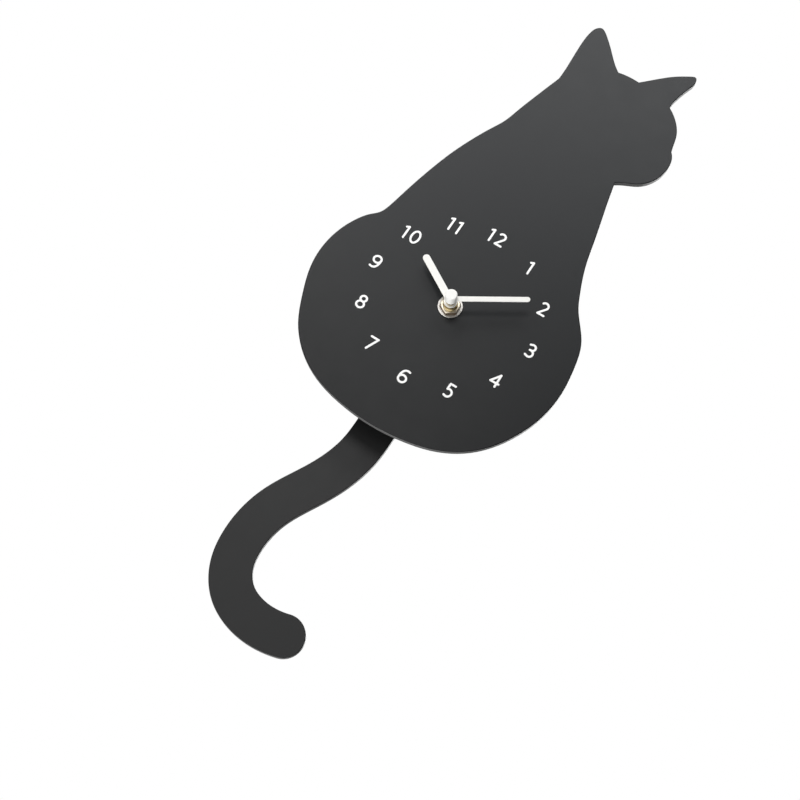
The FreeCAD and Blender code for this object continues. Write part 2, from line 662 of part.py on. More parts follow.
def make_hand(length, width, hub_radius, angle, base, collet_radius, collet_height, bore_radius):
    """A flat hand with a round hub and a round end, and a collet that grips its arbor behind the hub."""
    front, back = above(base + HAND_THICKNESS), above(base)
    end = (0.0, length - width / 2)
    hand = fused([capsule(CENTRE, end, width, front, back), rod(hub_radius, front, back)])
    hand = hand.makeFillet(HAND_EDGE_ROUND, edges_on(hand, front))
    hand = fused([hand, rod(collet_radius, back, back + collet_height)])
    hand = hand.cut(bore(bore_radius, front, back + collet_height))
    hand.rotate(V(0, 0, 0), AXIS_Y, angle)
    return hand


def make_cap():
    front, back = above(CAP_TOP), above(MINUTE_HAND_BASE + HAND_THICKNESS)
    cap = rod(CAP_RADIUS, front, back)
    cap = cap.makeFillet(CAP_EDGE_ROUND, edges_on(cap, front))
    return cap.cut(rod(MINUTE_ARBOR_RADIUS + SNUG, above(ARBOR_TOP + GAP), back + OVERCUT))


# ---- trains ------------------------------------------------------------------------------------

CANNON_PHASE = 0.0
MINUTE_PHASE = meshed_phase(MINUTE_TEETH, CANNON_LEAVES, CANNON_PHASE, MINUTE_DIRECTION)
SETTING_PHASE = meshed_phase(SETTING_LEAVES, MINUTE_TEETH, MINUTE_PHASE, SETTING_DIRECTION)
HOUR_PHASE = 0.0
MINUTE_PINION_PHASE = meshed_phase(MINUTE_LEAVES, HOUR_TEETH, HOUR_PHASE, MINUTE_DIRECTION)
CENTRE_PHASE = 0.0
THIRD_PINION_PHASE = meshed_phase(THIRD_LEAVES, CENTRE_TEETH, CENTRE_PHASE, THIRD_DIRECTION)
SECONDS_PINION_PHASE = 0.0
THIRD_PHASE = meshed_phase(THIRD_TEETH, SECONDS_LEAVES, SECONDS_PINION_PHASE, THIRD_DIRECTION)
SECONDS_PHASE = 0.0
INTERMEDIATE_PINION_PHASE = meshed_phase(INTERMEDIATE_LEAVES, SECONDS_TEETH, SECONDS_PHASE,
                                         INTERMEDIATE_DIRECTION)
INTERMEDIATE_PHASE = 0.0
ROTOR_PHASE = meshed_phase(ROTOR_LEAVES, INTERMEDIATE_TEETH, INTERMEDIATE_PHASE, ROTOR_DIRECTION)


def wheel_level(front):
    return front, front + WHEEL_THICKNESS


def pinion_level(front):
    """The y range of a pinion that meshes with the wheel at this level."""
    return front - LEAF_OVERHANG, front + WHEEL_THICKNESS + LEAF_OVERHANG


def make_hour_wheel():
    front, back = wheel_level(HOUR_WHEEL_Y)
    wheel = gear(HOUR_TEETH, MINUTE_LEAVES, MINUTE_DISTANCE, HOUR_PHASE, front, back, CENTRE)
    wheel = fused([wheel, rod(HOUR_TUBE_RADIUS, above(HOUR_TUBE_TOP), back)])
    return wheel.cut(bore(MINUTE_ARBOR_RADIUS + RUNNING, above(HOUR_TUBE_TOP), back))


def make_minute_arbor():
    """Arbor and cannon pinion; a journal behind it carries the centre wheel and the seconds arbor."""
    pinion = gear(CANNON_LEAVES, MINUTE_TEETH, MINUTE_DISTANCE, CANNON_PHASE, *CANNON_Y, CENTRE)
    arbor = rod(MINUTE_ARBOR_RADIUS, above(ARBOR_TOP), CANNON_Y[0])
    journal = rod(REAR_JOURNAL, CANNON_Y[1], MIDDLE_PLATE_BACK)
    socket = rod(THIN_ARBOR + RUNNING, SECONDS_ARBOR_FRONT - GAP, MIDDLE_PLATE_BACK + OVERCUT)
    return fused([arbor, pinion, journal]).cut(socket)


def make_minute_wheel():
    front, back = wheel_level(MINUTE_WHEEL_Y)
    wheel = gear(MINUTE_TEETH, CANNON_LEAVES, MINUTE_DISTANCE, MINUTE_PHASE, front, back, MINUTE)
    pinion = gear(MINUTE_LEAVES, HOUR_TEETH, MINUTE_DISTANCE, MINUTE_PINION_PHASE,
                  HOUR_WHEEL_Y - LEAF_OVERHANG, front, MINUTE)
    return fused([wheel, pinion]).cut(bore(POST_RADIUS + RUNNING, HOUR_WHEEL_Y, back, MINUTE))


def make_setting_arbor():
    """The setting gear on its stem, which runs through both plates to the knob."""
    front, back = pinion_level(MINUTE_WHEEL_Y)
    pinion = gear(SETTING_LEAVES, MINUTE_TEETH, SETTING_DISTANCE, SETTING_PHASE, front, back, SETTING)
    stem = rod(SETTING_STEM, back, KNOB_BACK - KNOB_FLOOR - GAP, SETTING)
    pivot = rod(SETTING_PIVOT, CASE_FLOOR - SETTING_PIVOT_DEPTH, front, SETTING)
    return fused([pivot, pinion, stem])


def make_centre_wheel():
    front, back = wheel_level(CENTRE_WHEEL_Y)
    wheel = gear(CENTRE_TEETH, THIRD_LEAVES, THIRD_DISTANCE, CENTRE_PHASE, front, back, CENTRE)
    return wheel.cut(bore(REAR_JOURNAL + RUNNING, front, back))


def make_third_wheel():
    front, back = wheel_level(THIRD_WHEEL_Y)
    pinion_front, pinion_back = pinion_level(CENTRE_WHEEL_Y)
    wheel = gear(THIRD_TEETH, SECONDS_LEAVES, THIRD_DISTANCE, THIRD_PHASE, front, back, THIRD)
    pinion = gear(THIRD_LEAVES, CENTRE_TEETH, THIRD_DISTANCE, THIRD_PINION_PHASE, pinion_front, pinion_back,
                  THIRD)
    arbor = rod(THIRD_ARBOR, THIRD_BOSS_BACK - THIRD_PIVOT_DEPTH, ARBOR_REAR_END, THIRD)
    return fused([wheel, pinion, arbor])


def make_seconds_wheel():
    front, back = wheel_level(SECONDS_WHEEL_Y)
    pinion_front, pinion_back = pinion_level(THIRD_WHEEL_Y)
    wheel = gear(SECONDS_TEETH, INTERMEDIATE_LEAVES, INTERMEDIATE_DISTANCE, SECONDS_PHASE, front, back,
                 CENTRE)
    pinion = gear(SECONDS_LEAVES, THIRD_TEETH, THIRD_DISTANCE, SECONDS_PINION_PHASE, pinion_front,
                  pinion_back, CENTRE)
    return fused([wheel, pinion, rod(THIN_ARBOR, SECONDS_ARBOR_FRONT, ARBOR_REAR_END)])


def make_intermediate_wheel():
    front, back = wheel_level(INTERMEDIATE_WHEEL_Y)
    pinion_front, pinion_back = pinion_level(SECONDS_WHEEL_Y)
    wheel = gear(INTERMEDIATE_TEETH, ROTOR_LEAVES, ROTOR_DISTANCE, INTERMEDIATE_PHASE, front, back,
                 INTERMEDIATE)
    pinion = gear(INTERMEDIATE_LEAVES, SECONDS_TEETH, INTERMEDIATE_DISTANCE, INTERMEDIATE_PINION_PHASE,
                  pinion_front, pinion_back, INTERMEDIATE)
    arbor = rod(THIN_ARBOR, MIDDLE_PLATE_Y + ARBOR_INSET, ARBOR_REAR_END, INTERMEDIATE)
    return fused([wheel, pinion, arbor])


def make_rotor_pinion():
    front, back = pinion_level(INTERMEDIATE_WHEEL_Y)
    pinion = gear(ROTOR_LEAVES, INTERMEDIATE_TEETH, ROTOR_DISTANCE, ROTOR_PHASE, front, back, ROTOR)
    return fused([pinion, rod(THIN_ARBOR, MIDDLE_PLATE_Y + ARBOR_INSET, ARBOR_REAR_END, ROTOR)])


def make_rotor_magnet():
    return ring(ROTOR_MAGNET_RADIUS, THIN_ARBOR + SNUG, ROTOR_MAGNET_Y[0], ROTOR_MAGNET_Y[1], ROTOR)


# ---- motor -------------------------------------------------------------------------------------


def make_stator():
    """A flat lamination with the rotor hole and two tabs that reach the coil core."""
    back = STATOR_Y + STATOR_THICKNESS
    strip = slab(STATOR_STRIP, (STATOR_Y, back), (STATOR_BOTTOM, STATOR_TOP))
    tabs = [slab((STATOR_STRIP[0], CORE_X + CORE_WIDTH / 2), (STATOR_Y, back), (low, low + STATOR_TAB))
            for low in (STATOR_BOTTOM, STATOR_TOP - STATOR_TAB)]
    stator = fused([strip, rod(STATOR_EYE, STATOR_Y, back, ROTOR)] + tabs)
    holes = [bore(STATOR_HOLE, STATOR_Y, back, ROTOR)]
    holes += [bore(RIVET_RADIUS + SNUG, STATOR_Y, back, at) for at in rivet_places()]
    return cut_all(stator, holes)


def rivet_places():
    return [(CORE_X, STATOR_BOTTOM + STATOR_TAB / 2), (CORE_X, STATOR_TOP - STATOR_TAB / 2)]


def make_core():
    half = CORE_WIDTH / 2
    back = CORE_Y + STATOR_THICKNESS
    core = slab((CORE_X - half, CORE_X + half), (CORE_Y, back), (STATOR_BOTTOM, STATOR_TOP))
    return cut_all(core, [bore(RIVET_RADIUS + SNUG, CORE_Y, back, at) for at in rivet_places()])


def make_rivets():
    shank_back = CORE_Y + STATOR_THICKNESS
    rivets = []
    for at in rivet_places():
        shank = rod(RIVET_RADIUS, STATOR_Y, shank_back, at)
        heads = [rod(RIVET_HEAD_RADIUS, front, front + RIVET_HEAD_HEIGHT, at)
                 for front in (STATOR_Y - RIVET_HEAD_HEIGHT, shank_back)]
        rivets.append(fused([shank] + heads))
    return Part.makeCompound(rivets)


def upright(radius, low, high):
    """A round bar along Z on the axis of the motor coil."""
    return Part.makeCylinder(radius, high - low, V(CORE_X, WINDING_Y, low), AXIS_Z)


def make_motor_bobbin():
    tube = upright(BOBBIN_RADIUS, BOBBIN_Z[0], BOBBIN_Z[1])
    flanges = [upright(WINDING_RADIUS + FLANGE_MARGIN, low, low + BOBBIN_FLANGE)
               for low in (BOBBIN_Z[0], BOBBIN_Z[1] - BOBBIN_FLANGE)]
    half = CORE_WIDTH / 2 + GAP / 2
    reach = STATOR_THICKNESS / 2 + GAP / 2
    hole = slab((CORE_X - half, CORE_X + half), (WINDING_Y - reach, WINDING_Y + reach),
                (BOBBIN_Z[0] - OVERCUT, BOBBIN_Z[1] + OVERCUT))
    return fused([tube] + flanges).cut(hole)


def make_motor_winding():
    low, high = BOBBIN_Z[0] + BOBBIN_FLANGE + SNUG, BOBBIN_Z[1] - BOBBIN_FLANGE - SNUG
    hollow = upright(BOBBIN_RADIUS + SNUG, low - OVERCUT, high + OVERCUT)
    return upright(WINDING_RADIUS, low, high).cut(hollow)


# ---- plates and electronics --------------------------------------------------------------------


def plate_with_holes(front, holes):
    """A bearing plate; each hole is a radius and a place."""
    back = front + PLATE_THICKNESS
    plain = slab(PLATE_BOX[0], (front, back), PLATE_BOX[1])
    corners = [e for e in plain.Edges if e.BoundBox.YLength > PLATE_THICKNESS / 2]
    plain = plain.makeFillet(PLATE_CORNER, corners)
    return cut_all(plain, [bore(radius, front, back, at) for radius, at in holes])


def make_middle_plate():
    """Bearings between the trains, with pillars that carry the rear plate."""
    holes = [(REAR_JOURNAL + RUNNING, CENTRE)] + TRAIN_BEARINGS
    pillars = [rod(PILLAR_RADIUS, MIDDLE_PLATE_BACK, REAR_PLATE_Y, at) for at in PILLARS]
    solid = fused([plate_with_holes(MIDDLE_PLATE_Y, holes)] + pillars)
    screw_holes = [bore(PLATE_SCREW_RADIUS + GAP, MIDDLE_PLATE_Y, REAR_PLATE_Y, at) for at in PILLARS]
    return cut_all(solid, screw_holes)


def make_rear_plate():
    """Bearings behind the going train, and a hole for the pendulum's pin."""
    holes = [(THIN_ARBOR + RUNNING, CENTRE), (PIVOT_RADIUS + SNUG, PIVOT)] + TRAIN_BEARINGS
    holes += [(PLATE_SCREW_RADIUS + GAP, at) for at in PILLARS]
    return plate_with_holes(REAR_PLATE_Y, holes)


def make_plate_screws():
    """Slotted screws through both plates into the case's pillars."""
    screws = []
    head_back = REAR_PLATE_BACK + PLATE_SCREW_HEIGHT
    half = SCREW_SLOT_WIDTH / 2
    for x, z in PILLARS:
        at = (x, z)
        head = rod(PLATE_SCREW_HEAD, REAR_PLATE_BACK, head_back, at)
        slot = slab((x - 2 * PLATE_SCREW_HEAD, x + 2 * PLATE_SCREW_HEAD),
                    (head_back - SCREW_SLOT_DEPTH, head_back + OVERCUT), (z - half, z + half))
        shank = rod(PLATE_SCREW_RADIUS, MIDDLE_PLATE_Y - PLATE_SCREW_DEPTH, REAR_PLATE_BACK, at)
        screws.append(fused([head, shank]).cut(slot))
    return Part.makeCompound(screws)


def make_board():
    back = BOARD_Y + BOARD_THICKNESS
    board = slab(BOARD_BOX[0], (BOARD_Y, back), BOARD_BOX[1])
    return cut_all(board, [bore(BOARD_PEG_RADIUS + GAP / 2, BOARD_Y, back, at) for at in BOARD_POSTS])


def make_chip():
    """A blob of resin over the bare chip."""
    back = BOARD_Y + BOARD_THICKNESS
    blob = rod(CHIP_RADIUS, back, back + CHIP_HEIGHT, CHIP_PLACE)
    return blob.makeFillet(CHIP_ROUND, edges_on(blob, back + CHIP_HEIGHT))


def make_crystal():
    """A small can that lies on the board."""
    y = BOARD_Y + BOARD_THICKNESS + CRYSTAL_RADIUS + SNUG
    bottom, top = CRYSTAL_Z
    can = Part.makeCylinder(CRYSTAL_RADIUS, top - bottom, V(CRYSTAL_X, y, bottom), AXIS_Z)
    rim = [e for e in can.Edges if e.BoundBox.ZMin > top - GAP]
    return can.makeFillet(CRYSTAL_ROUND, rim)


# ---- case --------------------------------------------------------------------------------------

def case_posts():
    """What stands on the inside of the front case."""
    peg_back = BOARD_Y + BOARD_THICKNESS + BOARD_PEG_RISE
    posts = [rod(PILLAR_RADIUS, CASE_FLOOR, MIDDLE_PLATE_Y, at) for at in PILLARS]
    posts += [rod(BOARD_POST_RADIUS, CASE_FLOOR, BOARD_Y, at) for at in BOARD_POSTS]
    posts += [rod(BOARD_PEG_RADIUS, BOARD_Y, peg_back, at) for at in BOARD_POSTS]
    posts += [rod(BOSS_RADIUS, CASE_FLOOR, COVER_FRONT, at) for at in COVER_SCREWS]
    posts += [rod(THIRD_ARBOR + THIRD_BOSS, CASE_FLOOR, THIRD_BOSS_BACK, THIRD),
              rod(POST_RADIUS, CASE_FLOOR, MINUTE_WHEEL_Y + WHEEL_THICKNESS + POST_RISE, MINUTE),
              rod(COIL_RADIUS, CASE_FLOOR, COIL_STAND, SWING_MAGNET),
              rod(COIL_BORE - SNUG, COIL_STAND, COIL_STAND + COIL_PEG, SWING_MAGNET)]
    posts += [slab((x - BOSS_RADIUS, x + BOSS_RADIUS), (CASE_FLOOR, HANGER_SCREW_Y + BOSS_RADIUS),
                   (HANGER_SCREW_END - BOSS_LIP, CASE_TOP - WALL)) for x in HANGER_SCREWS]
    return posts


def blind_hole(radius, mouth, depth, at):
    """A cutter for a hole that is open towards the wall and a little deeper than what it takes."""
    return rod(radius, mouth - depth - HOLE_SPARE, mouth + OVERCUT, at)


def case_holes():
    """Bearings, screw holes and the opening that the swinging arm hangs through."""
    holes = [bore(BUSHING_SHANK_RADIUS + SNUG, CASE_FRONT, CASE_FLOOR),
             blind_hole(THIRD_ARBOR + RUNNING, THIRD_BOSS_BACK, THIRD_PIVOT_DEPTH, THIRD),
             blind_hole(SETTING_PIVOT + RUNNING, CASE_FLOOR, SETTING_PIVOT_DEPTH, SETTING),
             slab((SWING_X - SWING_SLOT, SWING_X + SWING_SLOT), (REAR_PLATE_BACK, COVER_FRONT + OVERCUT),
                  (CASE_BOTTOM - OVERCUT, CASE_BOTTOM + WALL + OVERCUT))]
    holes += [blind_hole(PLATE_SCREW_RADIUS + SNUG, MIDDLE_PLATE_Y, PLATE_SCREW_DEPTH, at) for at in PILLARS]
    holes += [blind_hole(COVER_SCREW_RADIUS + SNUG, COVER_FRONT, COVER_SCREW_LENGTH, at)
              for at in COVER_SCREWS]
    hanger_bottom = HANGER_SCREW_END - HOLE_SPARE
    holes += [hanger_screw_rod(HANGER_SCREW_RADIUS + SNUG, hanger_bottom, CASE_TOP + OVERCUT, x)
              for x in HANGER_SCREWS]
    return holes


def make_front_case():
    """The moulded front shell with its pillars, posts, bosses and bearing holes."""
    shell = rounded_box(CASE_HALF_WIDTH, CASE_FRONT, COVER_FRONT, CASE_BOTTOM, CASE_TOP, CASE_CORNER)
    hollow = rounded_box(CASE_HALF_WIDTH - WALL, CASE_FLOOR, COVER_FRONT + OVERCUT, CASE_BOTTOM + WALL,
                         CASE_TOP - WALL, CASE_CORNER - WALL)
    return cut_all(fused([shell.cut(hollow)] + case_posts()), case_holes())


def make_rear_cover():
    """The back plate with the battery bay, the knob's well and the pivot's boss."""
    cover = rounded_box(CASE_HALF_WIDTH, COVER_FRONT, 0.0, CASE_BOTTOM, CASE_TOP, CASE_CORNER)
    bay = rounded_box(BAY_HALF_WIDTH, BAY_FRONT, COVER_FRONT, BAY_BOTTOM, BAY_TOP, CASE_CORNER - WALL)
    boss = rod(PIVOT_RADIUS + PIN_BOSS, PIN_SEAT, COVER_FRONT, PIVOT)
    room = slab((BAY_WALL - BAY_HALF_WIDTH, BAY_HALF_WIDTH - BAY_WALL), (BAY_FRONT + BAY_WALL, OVERCUT),
                (BAY_BOTTOM + BAY_WALL, BAY_TOP - BAY_WALL))
    holes = [room, bore(KNOB_RADIUS + KNOB_WELL, COVER_FRONT, 0.0, SETTING),
             rod(PIVOT_RADIUS + SNUG, PIN_SEAT - OVERCUT, PIN_END + GAP, PIVOT)]
    for at in COVER_SCREWS:
        holes.append(bore(COVER_SCREW_RADIUS + GAP, COVER_FRONT, 0.0, at))
        holes.append(rod(COVER_SCREW_HEAD + GAP, -SCREW_HEAD_HEIGHT - GAP, OVERCUT, at))
    return cut_all(fused([cover, bay, boss]), holes)


def cross(at, back, radius):
    """The cross recess of a screw head, open towards the wall."""
    x, z = at
    arm, half = radius * CROSS_SHARE, CROSS_WIDTH / 2
    depths = (back - CROSS_DEPTH, back + OVERCUT)
    bars = [slab((x - wide, x + wide), depths, (z - high, z + high))
            for wide, high in ((arm, half), (half, arm))]
    return bars[0].fuse(bars[1])


def cross_screw(at, radius, head_radius, end, seat):
    """A round-headed screw along Y, from its end in front to its head behind its seat."""
    head_back = seat + SCREW_HEAD_HEIGHT
    head = rod(head_radius, seat, head_back, at)
    head = head.makeFillet(SCREW_HEAD_ROUND, edges_on(head, head_back))
    return fused([head, rod(radius, end, seat, at)]).cut(cross(at, head_back, head_radius))


def make_cover_screws():
    seat = -SCREW_HEAD_HEIGHT - GAP
    end = COVER_FRONT - COVER_SCREW_LENGTH
    return Part.makeCompound([cross_screw(at, COVER_SCREW_RADIUS, COVER_SCREW_HEAD, end, seat)
                              for at in COVER_SCREWS])



def make_knob():
    """A disc with scalloped rim and a blind socket for the stem."""
    knob = rod(KNOB_RADIUS, KNOB_FRONT, KNOB_BACK, SETTING)
    grip_places = [place(SETTING, KNOB_RADIUS + GRIP_SETOUT, 360 * i / KNOB_GRIPS) for i in range(KNOB_GRIPS)]
    grips = [bore(GRIP_RADIUS, KNOB_FRONT, KNOB_BACK, at) for at in grip_places]
    socket = rod(SETTING_STEM + SNUG, KNOB_FRONT - OVERCUT, KNOB_BACK - KNOB_FLOOR, SETTING)
    return cut_all(knob, grips + [socket])



def hanger_screw_rod(radius, low, high, x):
    """A round bar along Z where a hanger screw goes."""
    return Part.makeCylinder(radius, high - low, V(x, HANGER_SCREW_Y, low), AXIS_Z)


def keyhole():
    """The cutter of the hang hole and the slot that rises from it."""
    half = HANG_SLOT_WIDTH / 2
    slot_top = HANG_HEIGHT + HANG_HOLE_RADIUS + HANG_SLOT_RISE
    return fused([bore(HANG_HOLE_RADIUS, -HANGER_THICKNESS, 0.0, (0.0, HANG_HEIGHT)),
                  slab((-half, half), (-HANGER_THICKNESS - OVERCUT, OVERCUT), (HANG_HEIGHT, slot_top)),
                  bore(half, -HANGER_THICKNESS, 0.0, (0.0, slot_top))])


def make_hanger():
    """A steel angle screwed to the top of the case, with a keyhole in its upright leg."""
    across = (-HANGER_HALF_WIDTH, HANGER_HALF_WIDTH)
    seat = CASE_TOP + HANGER_THICKNESS
    flange = slab(across, (HANGER_FRONT, 0.0), (CASE_TOP, seat))
    leg = slab(across, (-HANGER_THICKNESS, 0.0), (CASE_TOP, HANGER_TOP))
    angle = fused([flange, leg])
    inner = [e for e in angle.Edges if e.BoundBox.XLength > HANGER_HALF_WIDTH
             and abs(e.BoundBox.ZMin - seat) < GAP and abs(e.BoundBox.YMin + HANGER_THICKNESS) < GAP]
    angle = angle.makeFillet(HANGER_BEND, inner)
    top = [e for e in angle.Edges if e.BoundBox.ZMin > HANGER_TOP - GAP and e.BoundBox.YLength > GAP]
    angle = angle.makeFillet(HANGER_CORNER, top)
    holes = [hanger_screw_rod(HANGER_SCREW_RADIUS + GAP, CASE_TOP - OVERCUT, seat + OVERCUT, x)
             for x in HANGER_SCREWS]
    return cut_all(angle, [keyhole()] + holes)


def make_hanger_screws():
    screws = []
    seat = CASE_TOP + HANGER_THICKNESS
    top = seat + SCREW_HEAD_HEIGHT
    half = SCREW_SLOT_WIDTH / 2
    for x in HANGER_SCREWS:
        shank = hanger_screw_rod(HANGER_SCREW_RADIUS, HANGER_SCREW_END, seat, x)
        head = hanger_screw_rod(HANGER_SCREW_HEAD, seat, top, x)
        slot = slab((x - 2 * HANGER_SCREW_HEAD, x + 2 * HANGER_SCREW_HEAD),
                    (HANGER_SCREW_Y - half, HANGER_SCREW_Y + half), (top - SCREW_SLOT_DEPTH, top + OVERCUT))
        screws.append(fused([shank, head]).cut(slot))
    return Part.makeCompound(screws)


def make_gasket():
    return ring(GASKET_RADIUS, BUSHING_SHANK_RADIUS + GAP, PANEL_BACK, CASE_FRONT)


# ---- battery -----------------------------------------------------------------------------------


def make_cell():
    """A round dry cell that lies across the bay, with its nub to the right."""
    body = Part.makeCylinder(CELL_RADIUS, CELL_BODY, V(CELL_START, CELL_Y, CELL_Z), AXIS_X)
    rims = [e for e in body.Edges if e.BoundBox.XLength < GAP]
    body = body.makeFillet(CELL_ROUND, rims)
    nub = Part.makeCylinder(CELL_NUB_RADIUS, CELL_NUB, V(CELL_START + CELL_BODY, CELL_Y, CELL_Z), AXIS_X)
    return fused([body, nub])


def make_positive_contact():
    """A flat strip against the end wall of the bay."""
    right = BAY_HALF_WIDTH - BAY_WALL - SNUG
    return slab((right - CONTACT_THICKNESS, right), (BAY_FRONT + BAY_WALL + GAP, POSITIVE_CONTACT_BACK),
                (CELL_Z - CONTACT_HALF, CELL_Z + CONTACT_HALF))


def make_negative_contact():
    """A leaf that bows out from the end wall to press on the cell."""
    left = SNUG + BAY_WALL - BAY_HALF_WIDTH
    crest = CELL_START - GAP
    front, back = LEAF_RANGE
    middle = (front + back) / 2
    low = CELL_Z - CONTACT_HALF
    outer = [V(left, front, low), V(crest, middle, low), V(left, back, low)]
    inner = [V(left, front + LEAF_FOOT, low), V(crest - CONTACT_THICKNESS, middle, low),
             V(left, back - LEAF_FOOT, low)]
    edges = [Part.Arc(*outer).toShape(), Part.Arc(*inner).toShape(),
             Part.makeLine(outer[0], inner[0]), Part.makeLine(inner[2], outer[2])]
    face = Part.Face(Part.Wire(Part.__sortEdges__(edges)))
    return face.extrude(V(0, 0, 2 * CONTACT_HALF))


# ---- pendulum unit -----------------------------------------------------------------------------


def make_coil_bobbin():
    tube = rod(COIL_CORE, COIL_STAND, COIL_BACK, SWING_MAGNET)
    flanges = [rod(COIL_RADIUS, front, front + COIL_FLANGE, SWING_MAGNET)
               for front in (COIL_STAND, COIL_BACK - COIL_FLANGE)]
    return fused([tube] + flanges).cut(bore(COIL_BORE, COIL_STAND, COIL_BACK, SWING_MAGNET))


def make_coil_winding():
    return ring(COIL_RADIUS - COIL_MARGIN, COIL_CORE + SNUG, COIL_STAND + COIL_FLANGE + SNUG,
                COIL_BACK - COIL_FLANGE - SNUG, SWING_MAGNET)


def make_swing_arm():
    """A flat arm on the pivot, with a hooked stud at its lower end."""
    back = ARM_Y + ARM_THICKNESS
    arm = capsule(PIVOT, HOOK, ARM_WIDTH, ARM_Y, back)
    hub = rod(ARM_HUB, ARM_HUB_Y[0], ARM_HUB_Y[1], PIVOT)
    lip_back = TAIL_FRONT - STRAP_THICKNESS - HOOK_PLAY
    lip = rod(HOOK_LIP_RADIUS, lip_back - HOOK_LIP_THICKNESS, lip_back, HOOK)
    stud = rod(HOOK_RADIUS, lip_back, ARM_Y, HOOK)
    return fused([arm, hub, stud, lip]).cut(bore(PIVOT_RADIUS + RUNNING, ARM_HUB_Y[0], ARM_HUB_Y[1], PIVOT))


def make_swing_magnet():
    return rod(SWING_MAGNET_RADIUS, ARM_Y - MAGNET_THICKNESS, ARM_Y, SWING_MAGNET)


def make_pivot_pin():
    return rod(PIVOT_RADIUS, REAR_PLATE_Y, PIN_END, PIVOT)


def make_strap():
    """A steel strap: an eye on the arm's hook and two holes for the tail's screws."""
    front = TAIL_FRONT - STRAP_THICKNESS
    lower = TAIL_SCREWS[-1]
    strap = fused([rod(STRAP_EYE_RADIUS, front, TAIL_FRONT, HOOK),
                   capsule(HOOK, lower, 2 * STRAP_END_RADIUS, front, TAIL_FRONT)])
    holes = [bore(HOOK_RADIUS + SNUG, front, TAIL_FRONT, HOOK)]
    holes += [bore(TAIL_SCREW_RADIUS + SNUG, front, TAIL_FRONT, at) for at in TAIL_SCREWS]
    return cut_all(strap, holes)


def make_tail_screws():
    end = TAIL_FRONT - STRAP_THICKNESS
    return Part.makeCompound([cross_screw(at, TAIL_SCREW_RADIUS, TAIL_SCREW_HEAD, end, TAIL_BACK)
                              for at in TAIL_SCREWS])


# ---- files -------------------------------------------------------------------------------------


def make_minute_hand():
    return make_hand(**MINUTE_HAND)


def make_hour_hand():
    return make_hand(**HOUR_HAND)


NODES = {
    "cat_panel": make_panel, "dial_numerals": make_numerals, "cat_tail": make_tail,
    "dial_washer": make_washer, "hex_nut": make_nut, "threaded_bushing": make_bushing,
    "hour_hand": make_hour_hand, "minute_hand": make_minute_hand, "centre_cap": make_cap,
    "hour_wheel": make_hour_wheel, "minute_arbor": make_minute_arbor, "minute_wheel": make_minute_wheel,
    "setting_arbor": make_setting_arbor, "setting_knob": make_knob, "centre_wheel": make_centre_wheel,
    "third_wheel": make_third_wheel, "seconds_wheel": make_seconds_wheel,
    "intermediate_wheel": make_intermediate_wheel, "rotor_pinion": make_rotor_pinion,
    "rotor_magnet": make_rotor_magnet, "stator": make_stator, "coil_core": make_core,
    "stator_rivets": make_rivets, "motor_bobbin": make_motor_bobbin, "motor_winding": make_motor_winding,
    "middle_plate": make_middle_plate, "rear_plate": make_rear_plate, "plate_screws": make_plate_screws,
    "circuit_board": make_board, "clock_chip": make_chip, "quartz_crystal": make_crystal,
    "front_case": make_front_case, "rear_cover": make_rear_cover, "cover_screws": make_cover_screws,
    "hanger_bracket": make_hanger, "hanger_screws": make_hanger_screws, "rubber_gasket": make_gasket,
    "battery_cell": make_cell, "positive_contact": make_positive_contact,
    "negative_contact": make_negative_contact, "pendulum_bobbin": make_coil_bobbin,
    "pendulum_winding": make_coil_winding, "swing_arm": make_swing_arm, "swing_magnet": make_swing_magnet,
    "pivot_pin": make_pivot_pin, "tail_strap": make_strap, "tail_screws": make_tail_screws,
}

os.makedirs("parts", exist_ok=True)
for name, make in NODES.items():
    shape = make()
    shape.translate(V(0, 0, -HANG_HEIGHT))
    shape.exportStep("parts/" + name + ".step")
    print(name, "solids", len(shape.Solids), "volume", round(shape.Volume, 1), "valid", shape.isValid())
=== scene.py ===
import json
import math
import bmesh
import bpy
from mathutils import Matrix, Vector


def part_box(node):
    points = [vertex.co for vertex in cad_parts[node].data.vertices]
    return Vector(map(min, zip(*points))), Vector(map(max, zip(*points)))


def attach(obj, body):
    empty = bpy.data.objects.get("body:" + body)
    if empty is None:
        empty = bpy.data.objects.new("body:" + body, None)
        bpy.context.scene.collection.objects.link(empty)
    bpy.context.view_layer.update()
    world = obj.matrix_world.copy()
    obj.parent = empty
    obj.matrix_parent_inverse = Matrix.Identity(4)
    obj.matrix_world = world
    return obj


# The cat tail clock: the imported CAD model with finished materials, two marks printed on the back of
# its case, the camera of the product picture and soft studio light.  All lengths are in metres.

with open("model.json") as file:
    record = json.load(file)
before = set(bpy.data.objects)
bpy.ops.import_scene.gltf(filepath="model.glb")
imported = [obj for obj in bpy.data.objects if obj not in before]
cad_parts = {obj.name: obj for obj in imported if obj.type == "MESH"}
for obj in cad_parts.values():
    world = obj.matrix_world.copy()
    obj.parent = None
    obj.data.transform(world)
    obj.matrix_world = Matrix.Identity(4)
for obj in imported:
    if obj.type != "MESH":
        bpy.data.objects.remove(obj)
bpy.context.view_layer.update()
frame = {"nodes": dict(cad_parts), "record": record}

MM = 0.001
MICRON = 0.000001


def node_box(node):
    """Lowest and highest corner of a CAD node."""
    low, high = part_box(node)
    return Vector(low), Vector(high)


def middle(node):
    low, high = node_box(node)
    return (low + high) / 2


# ---- sizes and places --------------------------------------------------------------------------

DIAL = middle("dial_washer")                  # on the dial axis
PANEL_FRONT = node_box("cat_panel")[0].y

